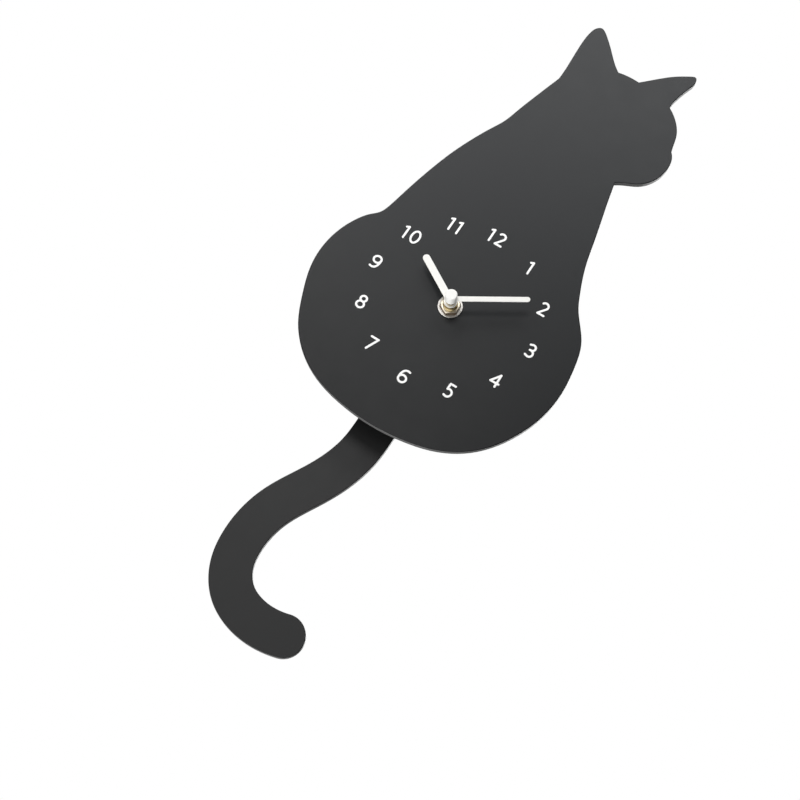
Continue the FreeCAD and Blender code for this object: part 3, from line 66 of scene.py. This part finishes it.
# Camera, its place measured from where the dial axis meets the panel's front
CAMERA_OFFSET = Vector((0.1247, -0.6105, -0.2569))
CAMERA_RIGHT = Vector((0.8438, -0.0098, 0.5365))
CAMERA_UP = Vector((-0.5049, -0.3533, 0.7876))
CAMERA_LENS = 56.9
CAMERA_SENSOR = 36.0
CAMERA_CLIP = 0.01

# Studio lights: place from the dial, two sides, power in watts and the point they face, from the dial
AT_DIAL = (0.0, 0.0, 0.0)
AT_FLOOR = (0.0, 0.0, -2.0)
LIGHTS = {
    "key": ((-0.365, -1.488, 0.456), (0.5, 0.5), 3.4, AT_DIAL),
    "near": ((-0.1, -0.4, 0.55), (0.55, 0.37), 2.6, AT_DIAL),
    "left": ((-0.45, -0.40, 0.30), (0.3, 0.4), 2.7, AT_DIAL),
    "low": ((-0.3, -1.2, -0.4), (1.0, 1.0), 3.6, AT_DIAL),
    "under": ((0.0, 0.0, -0.5), (0.6, 0.14), 2.2, AT_DIAL),
    "back": ((0.5, 1.4, 0.6), (1.2, 1.2), 16.0, AT_DIAL),
    "floor": ((0.0, 0.0, -0.8), (5.0, 5.0), 49.0, AT_FLOOR),
}
WORLD_LIGHT = 0.05            # strength of the even light from all round
WORLD_SEEN = 1.0              # strength of the white that the camera sees behind the clock
FLOOR_DROP = 1.2
FLOOR_HALF = 1.8
FLOOR_PALE = (0.86, 0.86, 0.86)

# Marks printed on the back of the case: a cell with its poles, and an arrow round the setting knob
PRINT_THICKNESS = 0.05 * MM
PRINT_LINE = 0.5 * MM
PRINT_MERGE = PRINT_THICKNESS / 100
CELL_MARK_OFFSET = (6.0 * MM, -12.8 * MM)     # from the middle of the cell
CELL_MARK_SIZE = (20.0 * MM, 6.0 * MM)
CELL_MARK_NUB = (1.0 * MM, 2.4 * MM)
POLE_MARK = 2.4 * MM
ARROW_RADIUS = 8.2 * MM
ARROW_TURN = (205, 325)                       # degrees, measured from +X towards +Z
ARROW_STEPS = 24
ARROW_HEAD = (2.2 * MM, 1.6 * MM)             # length and width

# ---- finishes ----------------------------------------------------------------------------------

# Matte paint of the panel and the tail, which changes between two heights measured from the dial: painted
# light and shade, the panel's paint lighter towards its top and the tail's darker towards its top, where
# the panel shades it; the tail's paint is also lighter than the panel's, as painted light
PAINTED_LIGHT_FADE = (-0.09, 0.08)
PANEL_PAINT_AND_PAINTED_LIGHT = ((0.0012, 0.0016, 0.0020), (0.0056, 0.0070, 0.0085))
TAIL_PAINT_AND_PAINTED_SHADE = ((0.0155, 0.0157, 0.0159), (0.00775, 0.00785, 0.00795))
PAINT_ROUGHNESS = 0.41
PAINT_SPECULAR = 0.28
# The cut rim's paler grey is a painted highlight, light catching the board's edge; fibre grain shows on it
BOARD_RIM_HIGHLIGHT = (0.085, 0.085, 0.085)
BOARD_GRAIN = (1.0, 8.0, 1.0)                 # stretch of the fibres that show on the cut rim

# The hands, white in front, and the cap on their arbor
HAND_WHITE = (0.83, 0.825, 0.79)
HAND_METAL = (0.80, 0.74, 0.62)
HAND_ROUGHNESS = 0.38
HAND_PLATE = 0.5 * MM                         # thickness of a hand, without its collet
HAND_BARE_RIM = 0.02 * MM                     # how far the bare metal comes round a hand's back edge
CAP_WHITE = (0.83, 0.825, 0.80)
CAP_ROUGHNESS = 0.33

# Metals turned on a lathe: the node that the rings run round, colour and roughness
TURNED_METALS = {
    "washer_plate": ("dial_washer", (0.60, 0.58, 0.55), 0.40),
    "nut_plate": ("hex_nut", (0.80, 0.72, 0.58), 0.36),
    "bushing_brass": ("threaded_bushing", (0.62, 0.50, 0.27), 0.34),
    "train_brass": ("hour_wheel", (0.86, 0.76, 0.56), 0.28),
}
ARBOR_STEEL = (0.66, 0.66, 0.67)
ARBOR_ROUGHNESS = 0.2
# Dark brown on the nut's flats: a painted reflection, darker than its faces
NUT_FLATS_PAINTED_REFLECTION = (0.20, 0.13, 0.07)
RING_FREQUENCY = 9000.0                       # of the turning marks, in radians to the metre

# Small plated parts: colour and roughness
PLATED_METALS = {
    "rivet_brass": ((0.80, 0.64, 0.38), 0.25),
    "screw_steel": ((0.60, 0.60, 0.60), 0.3),
}

# Rolled sheet: colour, roughness and the stretch of its brush lines, long along one axis
ALONG_X = (4.0, 160.0, 160.0)
ALONG_Z = (160.0, 160.0, 4.0)
SHEET_METALS = {
    "motor_steel": ((0.50, 0.50, 0.51), 0.4, ALONG_Z),
    "crystal_can": ((0.72, 0.72, 0.73), 0.2, ALONG_Z),
    "hanger_steel": ((0.64, 0.65, 0.66), 0.33, ALONG_X),
    "contact_steel": ((0.74, 0.72, 0.67), 0.24, ALONG_Z),
}

# Moulded plastics: colour, roughness, grains to the metre and the grain's depth
PLASTICS = {
    "wheel_plastic": ((0.74, 0.73, 0.68), 0.42, 2600.0, 10 * MICRON),
    "knob_plastic": ((0.030, 0.030, 0.031), 0.45, 1500.0, 20 * MICRON),
    "bobbin_plastic": ((0.62, 0.57, 0.44), 0.45, 1900.0, 10 * MICRON),
    "plate_plastic": ((0.46, 0.48, 0.49), 0.48, 1500.0, 20 * MICRON),
    "chip_resin": ((0.012, 0.012, 0.013), 0.3, 2800.0, 10 * MICRON),
    "case_plastic": ((0.020, 0.020, 0.0215), 0.5, 1100.0, 30 * MICRON),
    "arm_plastic": ((0.68, 0.67, 0.62), 0.45, 1700.0, 20 * MICRON),
}

# Windings
COPPER = (0.72, 0.30, 0.12)
WIRE_PITCH = 0.16 * MM

# The cell's jacket: each colour starts at a share of the cell's length
CELL_STEEL = (0.62, 0.62, 0.63)
CELL_BLACK = (0.018, 0.019, 0.022)
CELL_GOLD = (0.72, 0.46, 0.20)
CELL_LINE = (0.80, 0.80, 0.78)
CELL_SCUFF = (0.35, 0.35, 0.35)
CELL_BANDS = (
    (0.0, CELL_STEEL),
    (0.02, CELL_BLACK),
    (0.60, CELL_LINE),
    (0.615, CELL_BLACK),
    (0.63, CELL_LINE),
    (0.645, CELL_GOLD),
    (0.972, CELL_STEEL),
)

# ---- shader building ---------------------------------------------------------------------------

FULL = (0.0, 1.0)
WAVE = (-1.0, 1.0)
NOISE = (0.3, 0.7)            # nearly all of a noise texture lies between these
MIX_FACTOR, MIX_FIRST, MIX_SECOND, MIX_RESULT = 0, 6, 7, 2    # sockets of a Mix node for colours
BEVEL_SAMPLES = 4
BEVEL_AGREEMENT = (0.98, 0.80)    # of two normals, on a flat stretch and on a sharp edge


class Shader:
    """A material under construction: one Principled shader and the nodes that feed it."""

    def __init__(self, name, colour, roughness, metallic=0.0, **sockets):
        self.material = bpy.data.materials.new(name)
        self.material.use_nodes = True
        self.tree = self.material.node_tree
        self.tree.nodes.clear()
        output = self.tree.nodes.new("ShaderNodeOutputMaterial")
        self.surface = self.tree.nodes.new("ShaderNodeBsdfPrincipled")
        self.tree.links.new(self.surface.outputs["BSDF"], output.inputs["Surface"])
        self.surface.inputs["Base Color"].default_value = (*colour, 1.0)
        self.surface.inputs["Roughness"].default_value = roughness
        self.surface.inputs["Metallic"].default_value = metallic
        for socket, value in sockets.items():
            self.surface.inputs[socket.replace("_", " ")].default_value = value
        self.place = self.tree.nodes.new("ShaderNodeTexCoord").outputs["Object"]

    def add(self, kind, inputs, **settings):
        """A node with its settings, and its inputs given as values or as other nodes' outputs."""
        node = self.tree.nodes.new(kind)
        for key, value in settings.items():
            setattr(node, key, value)
        for key, value in inputs.items():
            if isinstance(value, bpy.types.NodeSocket):
                self.tree.links.new(value, node.inputs[key])
            else:
                node.inputs[key].default_value = value
        return node

    def feed(self, socket, output):
        """Drives one of the shader's own sockets."""
        self.tree.links.new(output, self.surface.inputs[socket])

    def stretched(self, scale):
        """The object's own coordinates, scaled along each axis."""
        return self.add("ShaderNodeMapping", {"Vector": self.place, "Scale": scale}).outputs["Vector"]

    def noise(self, scale, detail=3.0, roughness=0.5, vector=None):
        inputs = {"Vector": vector or self.place, "Scale": scale, "Detail": detail, "Roughness": roughness}
        return self.add("ShaderNodeTexNoise", inputs).outputs["Fac"]

    def cells(self, scale):
        inputs = {"Vector": self.place, "Scale": scale}
        return self.add("ShaderNodeTexVoronoi", inputs).outputs["Distance"]

    def stripes(self, scale, direction):
        inputs = {"Vector": self.place, "Scale": scale, "Distortion": 0.0}
        return self.add("ShaderNodeTexWave", inputs, bands_direction=direction).outputs["Fac"]

    def math(self, operation, first, second=0.0):
        return self.add("ShaderNodeMath", {0: first, 1: second}, operation=operation).outputs["Value"]

    def remap(self, value, old, new):
        """A value moved linearly from one range to another, and clamped."""
        inputs = {
            "Value": value,
            "From Min": old[0],
            "From Max": old[1],
            "To Min": new[0],
            "To Max": new[1],
        }
        return self.add("ShaderNodeMapRange", inputs).outputs["Result"]

    def blend(self, factor, first, second):
        """A colour between two; each is an (r, g, b) or another node's output."""
        inputs = {MIX_FACTOR: factor}
        for key, value in ((MIX_FIRST, first), (MIX_SECOND, second)):
            inputs[key] = (*value, 1.0) if isinstance(value, tuple) else value
        return self.add("ShaderNodeMix", inputs, data_type="RGBA").outputs[MIX_RESULT]

    def part(self, axis, vector=None):
        """One coordinate of a point, or of another vector."""
        split = self.add("ShaderNodeSeparateXYZ", {"Vector": vector or self.place})
        return split.outputs[axis]

    def facing(self, axis):
        """How squarely the surface faces along an axis of the object, from 0 to 1."""
        normal = self.tree.nodes.new("ShaderNodeTexCoord").outputs["Normal"]
        return self.math("ABSOLUTE", self.part(axis, normal))

    def radius(self, centre):
        """Distance from the line along Y through a point."""
        moved = self.add("ShaderNodeVectorMath", {0: self.place, 1: tuple(centre)}, operation="SUBTRACT")
        across, up = [self.part(axis, moved.outputs["Vector"]) for axis in "XZ"]
        squares = [self.math("MULTIPLY", length, length) for length in (across, up)]
        return self.math("SQRT", self.math("ADD", *squares))

    def edges(self, radius):
        """1 where the surface turns sharply within a distance, 0 on flat stretches."""
        rounded = self.add("ShaderNodeBevel", {"Radius": radius}, samples=BEVEL_SAMPLES).outputs["Normal"]
        actual = self.tree.nodes.new("ShaderNodeNewGeometry").outputs["Normal"]
        agreement = self.add("ShaderNodeVectorMath", {0: rounded, 1: actual}, operation="DOT_PRODUCT")
        return self.remap(agreement.outputs["Value"], BEVEL_AGREEMENT, FULL)

    def bump(self, height, depth, strength):
        """Adds a relief of the given depth on top of those added before."""
        inputs = {"Height": height, "Distance": depth, "Strength": strength}
        earlier = self.surface.inputs["Normal"].links
        if earlier:
            inputs["Normal"] = earlier[0].from_socket
        self.feed("Normal", self.add("ShaderNodeBump", inputs).outputs["Normal"])

    def vary_roughness(self, noise, low, high):
        self.feed("Roughness", self.remap(noise, NOISE, (low, high)))


def shade(colour, factor):
    """A colour made darker or lighter."""
    return tuple(min(1.0, factor * channel) for channel in colour)


# ---- materials ---------------------------------------------------------------------------------

def painted_board(name, low, high):
    """Sprayed matte black on thin board whose tone changes with height as painted light and shade: fine
    orange peel, and a paler cut rim that is a painted highlight with fibre grain.
    """
    shader = Shader(name, low, PAINT_ROUGHNESS, Specular_IOR_Level=PAINT_SPECULAR)
    heights = [DIAL.z + height for height in PAINTED_LIGHT_FADE]
    # painted light and shade: the paint's tone changes with height
    painted_light_rise = shader.remap(shader.part("Z"), heights, (0.05, 0.95))
    clouds = shader.remap(shader.noise(22.0, detail=4.0, roughness=0.6), NOISE, (-0.05, 0.05))
    paint_and_painted_light = shader.blend(shader.math("ADD", painted_light_rise, clouds), low, high)
    fibres = shader.noise(260.0, roughness=0.7, vector=shader.stretched(BOARD_GRAIN))
    # painted highlight: the rim paler than the face, with fibre grain
    rim_highlight = shader.blend(fibres, shade(BOARD_RIM_HIGHLIGHT, 0.75), shade(BOARD_RIM_HIGHLIGHT, 1.2))
    flat = shader.remap(shader.facing("Y"), (0.2, 0.75), FULL)
    shader.feed("Base Color", shader.blend(flat, rim_highlight, paint_and_painted_light))
    shader.vary_roughness(shader.noise(90.0), PAINT_ROUGHNESS - 0.02, PAINT_ROUGHNESS + 0.02)
    shader.bump(shader.noise(1500.0, detail=2.0), depth=20 * MICRON, strength=0.3)
    shader.bump(shader.noise(320.0, detail=2.0), depth=30 * MICRON, strength=0.2)
    return shader.material


def printed_ink(name):
    """Screen-printed white, slightly uneven, with the paint's grain showing through."""
    shader = Shader(name, (0.90, 0.90, 0.89), 0.5)
    patches = shader.noise(700.0, roughness=0.6)
    shader.feed("Base Color", shader.blend(patches, (0.87, 0.87, 0.86), (0.95, 0.95, 0.94)))
    shader.vary_roughness(shader.noise(1200.0, detail=2.0), 0.45, 0.58)
    shader.bump(shader.noise(2600.0, detail=2.0), depth=10 * MICRON, strength=0.4)
    return shader.material


def white_lacquer(name, colour, roughness):
    """Smooth warm white enamel with a soft flow."""
    shader = Shader(name, colour, roughness, Specular_IOR_Level=0.5, Coat_Weight=0.15, Coat_Roughness=0.2)
    flow = shader.noise(240.0)
    shader.feed("Base Color", shader.blend(flow, shade(colour, 0.95), shade(colour, 1.03)))
    shader.vary_roughness(shader.noise(600.0, detail=2.0), roughness - 0.05, roughness + 0.06)
    shader.bump(shader.noise(900.0, detail=2.0), depth=10 * MICRON, strength=0.3)
    return shader.material


def enamelled_hand(node):
    """A hand enamelled on its face and rim; its back and collet are bare turned metal."""
    shader = Shader("enamel_" + node, HAND_WHITE, HAND_ROUGHNESS, Specular_IOR_Level=0.5)
    bare_from = node_box(node)[0].y + HAND_PLATE - HAND_BARE_RIM
    bare = shader.math("GREATER_THAN", shader.part("Y"), bare_from)
    enamel = shader.blend(shader.noise(240.0), shade(HAND_WHITE, 0.95), shade(HAND_WHITE, 1.03))
    stain = shader.noise(500.0, detail=4.0, roughness=0.6)
    metal = shader.blend(stain, shade(HAND_METAL, 0.85), shade(HAND_METAL, 1.06))
    shader.feed("Base Color", shader.blend(bare, enamel, metal))
    shader.feed("Metallic", bare)
    smooth = shader.remap(shader.noise(600.0, detail=2.0), NOISE, (0.33, 0.44))
    shader.feed("Roughness", shader.math("MULTIPLY", smooth, shader.remap(bare, FULL, (1.0, 0.7))))
    shader.bump(shader.noise(900.0, detail=2.0), depth=10 * MICRON, strength=0.3)
    return shader.material


def turned_metal(name, node, colour, roughness, sides=None):
    """Metal turned on a lathe: fine rings on its ends, small stains and bright edges.

    The sides that run along the axis can be given a colour of their own, a darker painted reflection.
    """
    shader = Shader(name, colour, roughness, metallic=1.0)
    squarely = shader.facing("Y")
    plating = shader.blend(shader.noise(420.0), shade(colour, 0.90), shade(colour, 1.05))
    if sides:
        # the sides take their painted reflection colour
        plating = shader.blend(shader.remap(squarely, (0.1, 0.6), FULL), sides, plating)
    bright = shader.math("MULTIPLY", shader.edges(0.1 * MM), 0.5)
    shader.feed("Base Color", shader.blend(bright, plating, shade(colour, 1.1)))
    shader.vary_roughness(shader.noise(500.0), roughness * 0.9, roughness * 1.15)
    turn = shader.math("MULTIPLY", shader.radius(middle(node)), RING_FREQUENCY)
    rings = shader.remap(shader.math("SINE", turn), WAVE, FULL)
    shader.bump(shader.math("MULTIPLY", rings, squarely), depth=2 * MICRON, strength=0.3)
    shader.bump(shader.noise(700.0, detail=2.0), depth=3 * MICRON, strength=0.3)
    return shader.material


def plated_metal(name, colour, roughness):
    """Plated small parts that are not turned about one axis: stains, tumbling marks and bright edges."""
    shader = Shader(name, colour, roughness, metallic=1.0)
    stain = shader.noise(700.0, detail=4.0, roughness=0.65)
    plating = shader.blend(stain, shade(colour, 0.78), shade(colour, 1.08))
    shader.feed("Base Color", shader.blend(shader.edges(0.15 * MM), plating, shade(colour, 1.25)))
    shader.vary_roughness(shader.noise(1300.0), roughness * 0.7, roughness * 1.4)
    shader.bump(shader.noise(2400.0), depth=8 * MICRON, strength=0.35)
    return shader.material


def moulded_plastic(name, colour, roughness, grain, depth):
    """Spark-eroded moulded plastic: a leathery grain, faint flow clouds and rubbed edges."""
    shader = Shader(name, colour, roughness, Specular_IOR_Level=0.45)
    clouds = shader.noise(45.0, detail=4.0, roughness=0.6)
    rub = shader.remap(shader.noise(150.0, detail=5.0, roughness=0.7), (0.45, 0.7), (0.15, 1.0))
    worn = shader.math("MULTIPLY", rub, shader.edges(0.3 * MM))
    base = shader.blend(clouds, shade(colour, 0.85), shade(colour, 1.15))
    pale = tuple(min(1.0, 1.5 * channel + 0.015) for channel in colour)
    shader.feed("Base Color", shader.blend(worn, base, pale))
    matte = shader.remap(shader.noise(130.0), NOISE, (roughness - 0.07, roughness + 0.07))
    shader.feed("Roughness", shader.math("SUBTRACT", matte, shader.math("MULTIPLY", worn, 0.12)))
    shader.bump(shader.cells(grain), depth, strength=0.35)
    shader.bump(shader.noise(2.2 * grain, detail=2.0), depth / 2, strength=0.3)
    return shader.material


def brushed_sheet(name, colour, roughness, lie):
    """Rolled and plated sheet: brush lines one way, dull patches, tiny pits and bright edges."""
    shader = Shader(name, colour, roughness, metallic=1.0)
    lines = shader.noise(24.0, detail=4.0, roughness=0.65, vector=shader.stretched(lie))
    patches = shader.noise(140.0, detail=4.0, roughness=0.6)
    sheet = shader.blend(patches, shade(colour, 0.78), shade(colour, 1.05))
    shader.feed("Base Color", shader.blend(shader.edges(0.2 * MM), sheet, shade(colour, 1.25)))
    shader.vary_roughness(lines, roughness * 0.7, roughness * 1.35)
    shader.bump(lines, depth=10 * MICRON, strength=0.35)
    pits = shader.remap(shader.noise(1700.0, detail=2.0), (0.62, 0.75), (1.0, 0.0))
    shader.bump(pits, depth=10 * MICRON, strength=0.3)
    return shader.material


def wound_wire(name, axis):
    """Enamelled copper wire in close turns along an axis, with painted shade between the turns and painted
    highlights on their crests.
    """
    shader = Shader(name, COPPER, 0.28, metallic=0.85, Coat_Weight=0.6, Coat_Roughness=0.15)
    along = shader.math("MULTIPLY", shader.part(axis), 2 * math.pi / WIRE_PITCH)
    wobble = shader.math("MULTIPLY", shader.noise(160.0, detail=2.0), 2.0)
    turns = shader.math("SINE", shader.math("ADD", along, wobble))
    height = shader.remap(turns, WAVE, FULL)
    # painted shade in the grooves between turns, painted highlight on the crests
    shader.feed("Base Color", shader.blend(height, shade(COPPER, 0.45), shade(COPPER, 1.15)))
    shader.vary_roughness(shader.noise(400.0), 0.22, 0.38)
    shader.bump(height, WIRE_PITCH / 3, strength=0.8)
    return shader.material


def soft_rubber():
    """Black rubber with a pale bloom in patches."""
    shader = Shader("gasket_rubber", (0.022, 0.022, 0.023), 0.8, Specular_IOR_Level=0.35)
    bloom = shader.remap(shader.noise(70.0, detail=5.0, roughness=0.7), (0.45, 0.75), FULL)
    shader.feed("Base Color", shader.blend(bloom, (0.018, 0.018, 0.019), (0.045, 0.044, 0.042)))
    shader.vary_roughness(shader.noise(240.0), 0.7, 0.88)
    shader.bump(shader.noise(1300.0), depth=30 * MICRON, strength=0.4)
    return shader.material


def circuit_board():
    """Green solder mask over copper tracks on a glass weave."""
    shader = Shader("board_mask", (0.02, 0.16, 0.06), 0.3, Coat_Weight=0.4, Coat_Roughness=0.2)
    grid = {"Vector": shader.stretched((420.0, 420.0, 420.0)), "Scale": 1.0, "Mortar Size": 0.12}
    tracks = shader.add("ShaderNodeTexBrick", grid).outputs["Fac"]
    weave = shader.stripes(1400.0, "DIAGONAL")
    mask = shader.blend(weave, (0.012, 0.12, 0.045), (0.02, 0.16, 0.06))
    shader.feed("Base Color", shader.blend(tracks, mask, (0.05, 0.26, 0.10)))
    shader.vary_roughness(shader.noise(500.0), 0.25, 0.4)
    shader.bump(tracks, depth=30 * MICRON, strength=0.6)
    shader.bump(weave, depth=10 * MICRON, strength=0.3)
    return shader.material


def dark_magnet():
    """Sintered ferrite: dark grains with a dull metallic lustre."""
    shader = Shader("magnet_ferrite", (0.06, 0.06, 0.065), 0.42, metallic=0.7)
    grains = shader.cells(2400.0)
    shader.feed("Base Color", shader.blend(grains, (0.045, 0.045, 0.05), (0.10, 0.10, 0.105)))
    shader.vary_roughness(shader.noise(600.0, detail=4.0), 0.32, 0.52)
    shader.bump(grains, depth=20 * MICRON, strength=0.4)
    return shader.material


def cell_jacket():
    """A plain two-colour shrink label with printed rings and scuffs, and bare steel at both ends."""
    low, high = node_box("battery_cell")
    shader = Shader("cell_jacket", CELL_BLACK, 0.3, metallic=0.3, Coat_Weight=0.5, Coat_Roughness=0.12)
    along = shader.remap(shader.part("X"), (low.x, high.x), FULL)
    label = shader.add("ShaderNodeValToRGB", {"Fac": along})
    bands = label.color_ramp
    bands.interpolation = "CONSTANT"
    bands.elements.remove(bands.elements[-1])
    bands.elements[0].color = (*CELL_BANDS[0][1], 1.0)
    for start, colour in CELL_BANDS[1:]:
        band = bands.elements.new(start)
        band.color = (*colour, 1.0)
    scratches = shader.noise(260.0, detail=5.0, roughness=0.7, vector=shader.stretched((0.3, 1.0, 1.0)))
    scuffs = shader.remap(scratches, (0.56, 0.72), (0.0, 0.35))
    shader.feed("Base Color", shader.blend(scuffs, label.outputs["Color"], CELL_SCUFF))
    steel_end = shader.remap(along, (0.015, 0.02), (0.95, 0.2))
    gold_end = shader.remap(along, (0.640, 0.646), (0.0, 0.7))
    shader.feed("Metallic", shader.math("ADD", steel_end, gold_end))
    shader.vary_roughness(shader.noise(300.0, detail=4.0, roughness=0.6), 0.2, 0.36)
    creases = shader.noise(120.0, vector=shader.stretched((0.25, 1.0, 1.0)))
    shader.bump(creases, depth=100 * MICRON, strength=0.12)
    return shader.material


def make_slot_materials():
    """A finished material for each of the record's slots."""
    made = {
        "black_board": painted_board("black_board", *PANEL_PAINT_AND_PAINTED_LIGHT),
        "white_print": printed_ink("printed_ink"),
        "cap_white": white_lacquer("cap_white", CAP_WHITE, CAP_ROUGHNESS),
        "magnet": dark_magnet(),
        "board_green": circuit_board(),
        "gasket_rubber": soft_rubber(),
        "cell_jacket": cell_jacket(),
    }
    for name, (node, colour, roughness) in TURNED_METALS.items():
        # only the nut's flats carry a painted reflection
        sides = NUT_FLATS_PAINTED_REFLECTION if name == "nut_plate" else None
        made[name] = turned_metal(name, node, colour, roughness, sides)
    for name, finish in PLATED_METALS.items():
        made[name] = plated_metal(name, *finish)
    for name, finish in SHEET_METALS.items():
        made[name] = brushed_sheet(name, *finish)
    for name, finish in PLASTICS.items():
        made[name] = moulded_plastic(name, *finish)
    return made


def make_node_materials():
    """Materials of single nodes, where one slot holds pieces that lie or were made differently."""
    made = {
        # the tail's own paint carries painted shade at its top under the panel, and is lighter than the
        # panel's as painted light
        "cat_tail": painted_board("tail_board_painted_light_and_shade", *TAIL_PAINT_AND_PAINTED_SHADE),
        "motor_winding": wound_wire("motor_winding_copper", "Z"),
        "pendulum_winding": wound_wire("pendulum_winding_copper", "Y"),
    }
    for node in ("hour_hand", "minute_hand"):
        made[node] = enamelled_hand(node)
    for node in ("minute_arbor", "pivot_pin"):
        made[node] = turned_metal(node + "_steel", node, ARBOR_STEEL, ARBOR_ROUGHNESS)
    return made


def dress_nodes():
    """Gives each CAD node its own finished material, or else that of its slot."""
    of_slot = make_slot_materials()
    of_node = make_node_materials()
    slots = {part["node"]: part["material_slot"] for part in frame["record"]["subparts"]}
    for node, obj in frame["nodes"].items():
        obj.data.materials.clear()
        obj.data.materials.append(of_node[node] if node in of_node else of_slot[slots[node]])


# ---- printed marks -----------------------------------------------------------------------------

def bar(centre, size):
    """Corners of an upright rectangle."""
    x, z = centre
    across, up = size[0] / 2, size[1] / 2
    return [(x - across, z - up), (x + across, z - up), (x + across, z + up), (x - across, z + up)]


def cell_mark_outlines():
    """A cell drawn as four lines and a nub, with a plus at the positive contact's end and a minus."""
    cell = middle("battery_cell")
    x, z = cell.x + CELL_MARK_OFFSET[0], cell.z + CELL_MARK_OFFSET[1]
    width, height = CELL_MARK_SIZE
    side = math.copysign(1.0, middle("positive_contact").x - cell.x)
    lines = [bar((x, z + end * height / 2), (width, PRINT_LINE)) for end in (-1, 1)]
    rims = [bar((x + end * width / 2, z), (PRINT_LINE, height - PRINT_LINE)) for end in (-1, 1)]
    nub = bar((x + side * (width + PRINT_LINE + CELL_MARK_NUB[0]) / 2, z), CELL_MARK_NUB)
    pole = side * width / 3
    half = (POLE_MARK - PRINT_LINE) / 2
    plus = [bar((x + pole, z), (POLE_MARK, PRINT_LINE))]
    plus += [bar((x + pole, z + end * (PRINT_LINE + half) / 2), (PRINT_LINE, half)) for end in (-1, 1)]
    minus = bar((x - pole, z), (POLE_MARK, PRINT_LINE))
    return lines + rims + [nub] + plus + [minus]


def arrow_outlines():
    """An arc part of the way round the knob, with a head at one end."""
    knob = middle("setting_knob")
    start, end = [math.radians(angle) for angle in ARROW_TURN]

    def at(radius, angle):
        return knob.x + radius * math.cos(angle), knob.z + radius * math.sin(angle)

    turns = [start + (end - start) * step / ARROW_STEPS for step in range(ARROW_STEPS + 1)]
    near, far = ARROW_RADIUS - PRINT_LINE / 2, ARROW_RADIUS + PRINT_LINE / 2
    pieces = [[at(near, a), at(far, a), at(far, b), at(near, b)] for a, b in zip(turns, turns[1:])]
    length, width = ARROW_HEAD
    tip = at(ARROW_RADIUS, end + length / ARROW_RADIUS)
    head = [at(ARROW_RADIUS - width / 2, end), at(ARROW_RADIUS + width / 2, end), tip]
    return pieces + [head]


def print_mark(name, outlines):
    """Thin flat prints on the case's back, as one piece."""
    back = node_box("rear_cover")[1].y
    form = bmesh.new()
    for outline in outlines:
        lower = [form.verts.new((x, back, z)) for x, z in outline]
        upper = [form.verts.new((x, back + PRINT_THICKNESS, z)) for x, z in outline]
        form.faces.new(lower)
        form.faces.new(list(reversed(upper)))
        for first in range(len(outline)):
            second = (first + 1) % len(outline)
            form.faces.new((lower[second], lower[first], upper[first], upper[second]))
    bmesh.ops.remove_doubles(form, verts=form.verts, dist=PRINT_MERGE)
    bmesh.ops.recalc_face_normals(form, faces=form.faces)
    mesh = bpy.data.meshes.new(name)
    form.to_mesh(mesh)
    form.free()
    piece = bpy.data.objects.new(name, mesh)
    bpy.context.scene.collection.objects.link(piece)
    mesh.materials.append(printed_ink(name + "_ink"))
    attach(piece, "clock")


# ---- camera and studio -------------------------------------------------------------------------

def make_camera():
    data = bpy.data.cameras.new("camera")
    data.lens = CAMERA_LENS
    data.sensor_width = CAMERA_SENSOR
    data.clip_start = CAMERA_CLIP
    camera = bpy.data.objects.new("camera", data)
    bpy.context.scene.collection.objects.link(camera)
    place = Vector((DIAL.x, PANEL_FRONT, DIAL.z)) + CAMERA_OFFSET
    back = CAMERA_RIGHT.cross(CAMERA_UP).normalized()
    turn = Matrix((CAMERA_RIGHT, CAMERA_UP, back)).transposed()
    camera.matrix_world = Matrix.Translation(place) @ turn.to_4x4()
    bpy.context.scene.camera = camera


def make_floor():
    """A pale floor well below the clock, out of the camera's view."""
    mesh = bpy.data.meshes.new("studio_floor")
    signs = ((-1, -1), (1, -1), (1, 1), (-1, 1))
    corners = [(x * FLOOR_HALF, y * FLOOR_HALF, -FLOOR_DROP) for x, y in signs]
    mesh.from_pydata(corners, [], [(0, 1, 2, 3)])
    floor = bpy.data.objects.new("studio_floor", mesh)
    bpy.context.scene.collection.objects.link(floor)
    shader = Shader("studio_floor", FLOOR_PALE, 0.7)
    clouds = shader.noise(3.0)
    shader.feed("Base Color", shader.blend(clouds, shade(FLOOR_PALE, 0.977), shade(FLOOR_PALE, 1.023)))
    mesh.materials.append(shader.material)


def make_world():
    """White behind the clock, and a dimmer even light on it."""
    world = bpy.data.worlds.new("studio")
    world.use_nodes = True
    tree = world.node_tree
    tree.nodes.clear()
    output = tree.nodes.new("ShaderNodeOutputWorld")
    path = tree.nodes.new("ShaderNodeLightPath")
    mix = tree.nodes.new("ShaderNodeMixShader")
    tree.links.new(path.outputs["Is Camera Ray"], mix.inputs["Fac"])
    tree.links.new(mix.outputs[0], output.inputs["Surface"])
    for socket, strength in ((1, WORLD_LIGHT), (2, WORLD_SEEN)):
        background = tree.nodes.new("ShaderNodeBackground")
        background.inputs["Color"].default_value = (1.0, 1.0, 1.0, 1.0)
        background.inputs["Strength"].default_value = strength
        tree.links.new(background.outputs[0], mix.inputs[socket])
    bpy.context.scene.world = world


def make_lights():
    """Soft boxes: all but the floor's own face the dial."""
    for name, (offset, sides, power, aim) in LIGHTS.items():
        data = bpy.data.lights.new(name, "AREA")
        data.shape = "RECTANGLE"
        data.size, data.size_y = sides
        data.energy = power
        light = bpy.data.objects.new(name, data)
        light.location = DIAL + Vector(offset)
        light.rotation_mode = "QUATERNION"
        light.rotation_quaternion = (Vector(aim) - Vector(offset)).to_track_quat("-Z", "Y")
        light.visible_camera = False
        bpy.context.scene.collection.objects.link(light)


dress_nodes()
print_mark("cell_mark", cell_mark_outlines())
print_mark("setting_arrow", arrow_outlines())
make_camera()
make_floor()
make_world()
make_lights()
bpy.context.scene.view_settings.view_transform = "Standard"
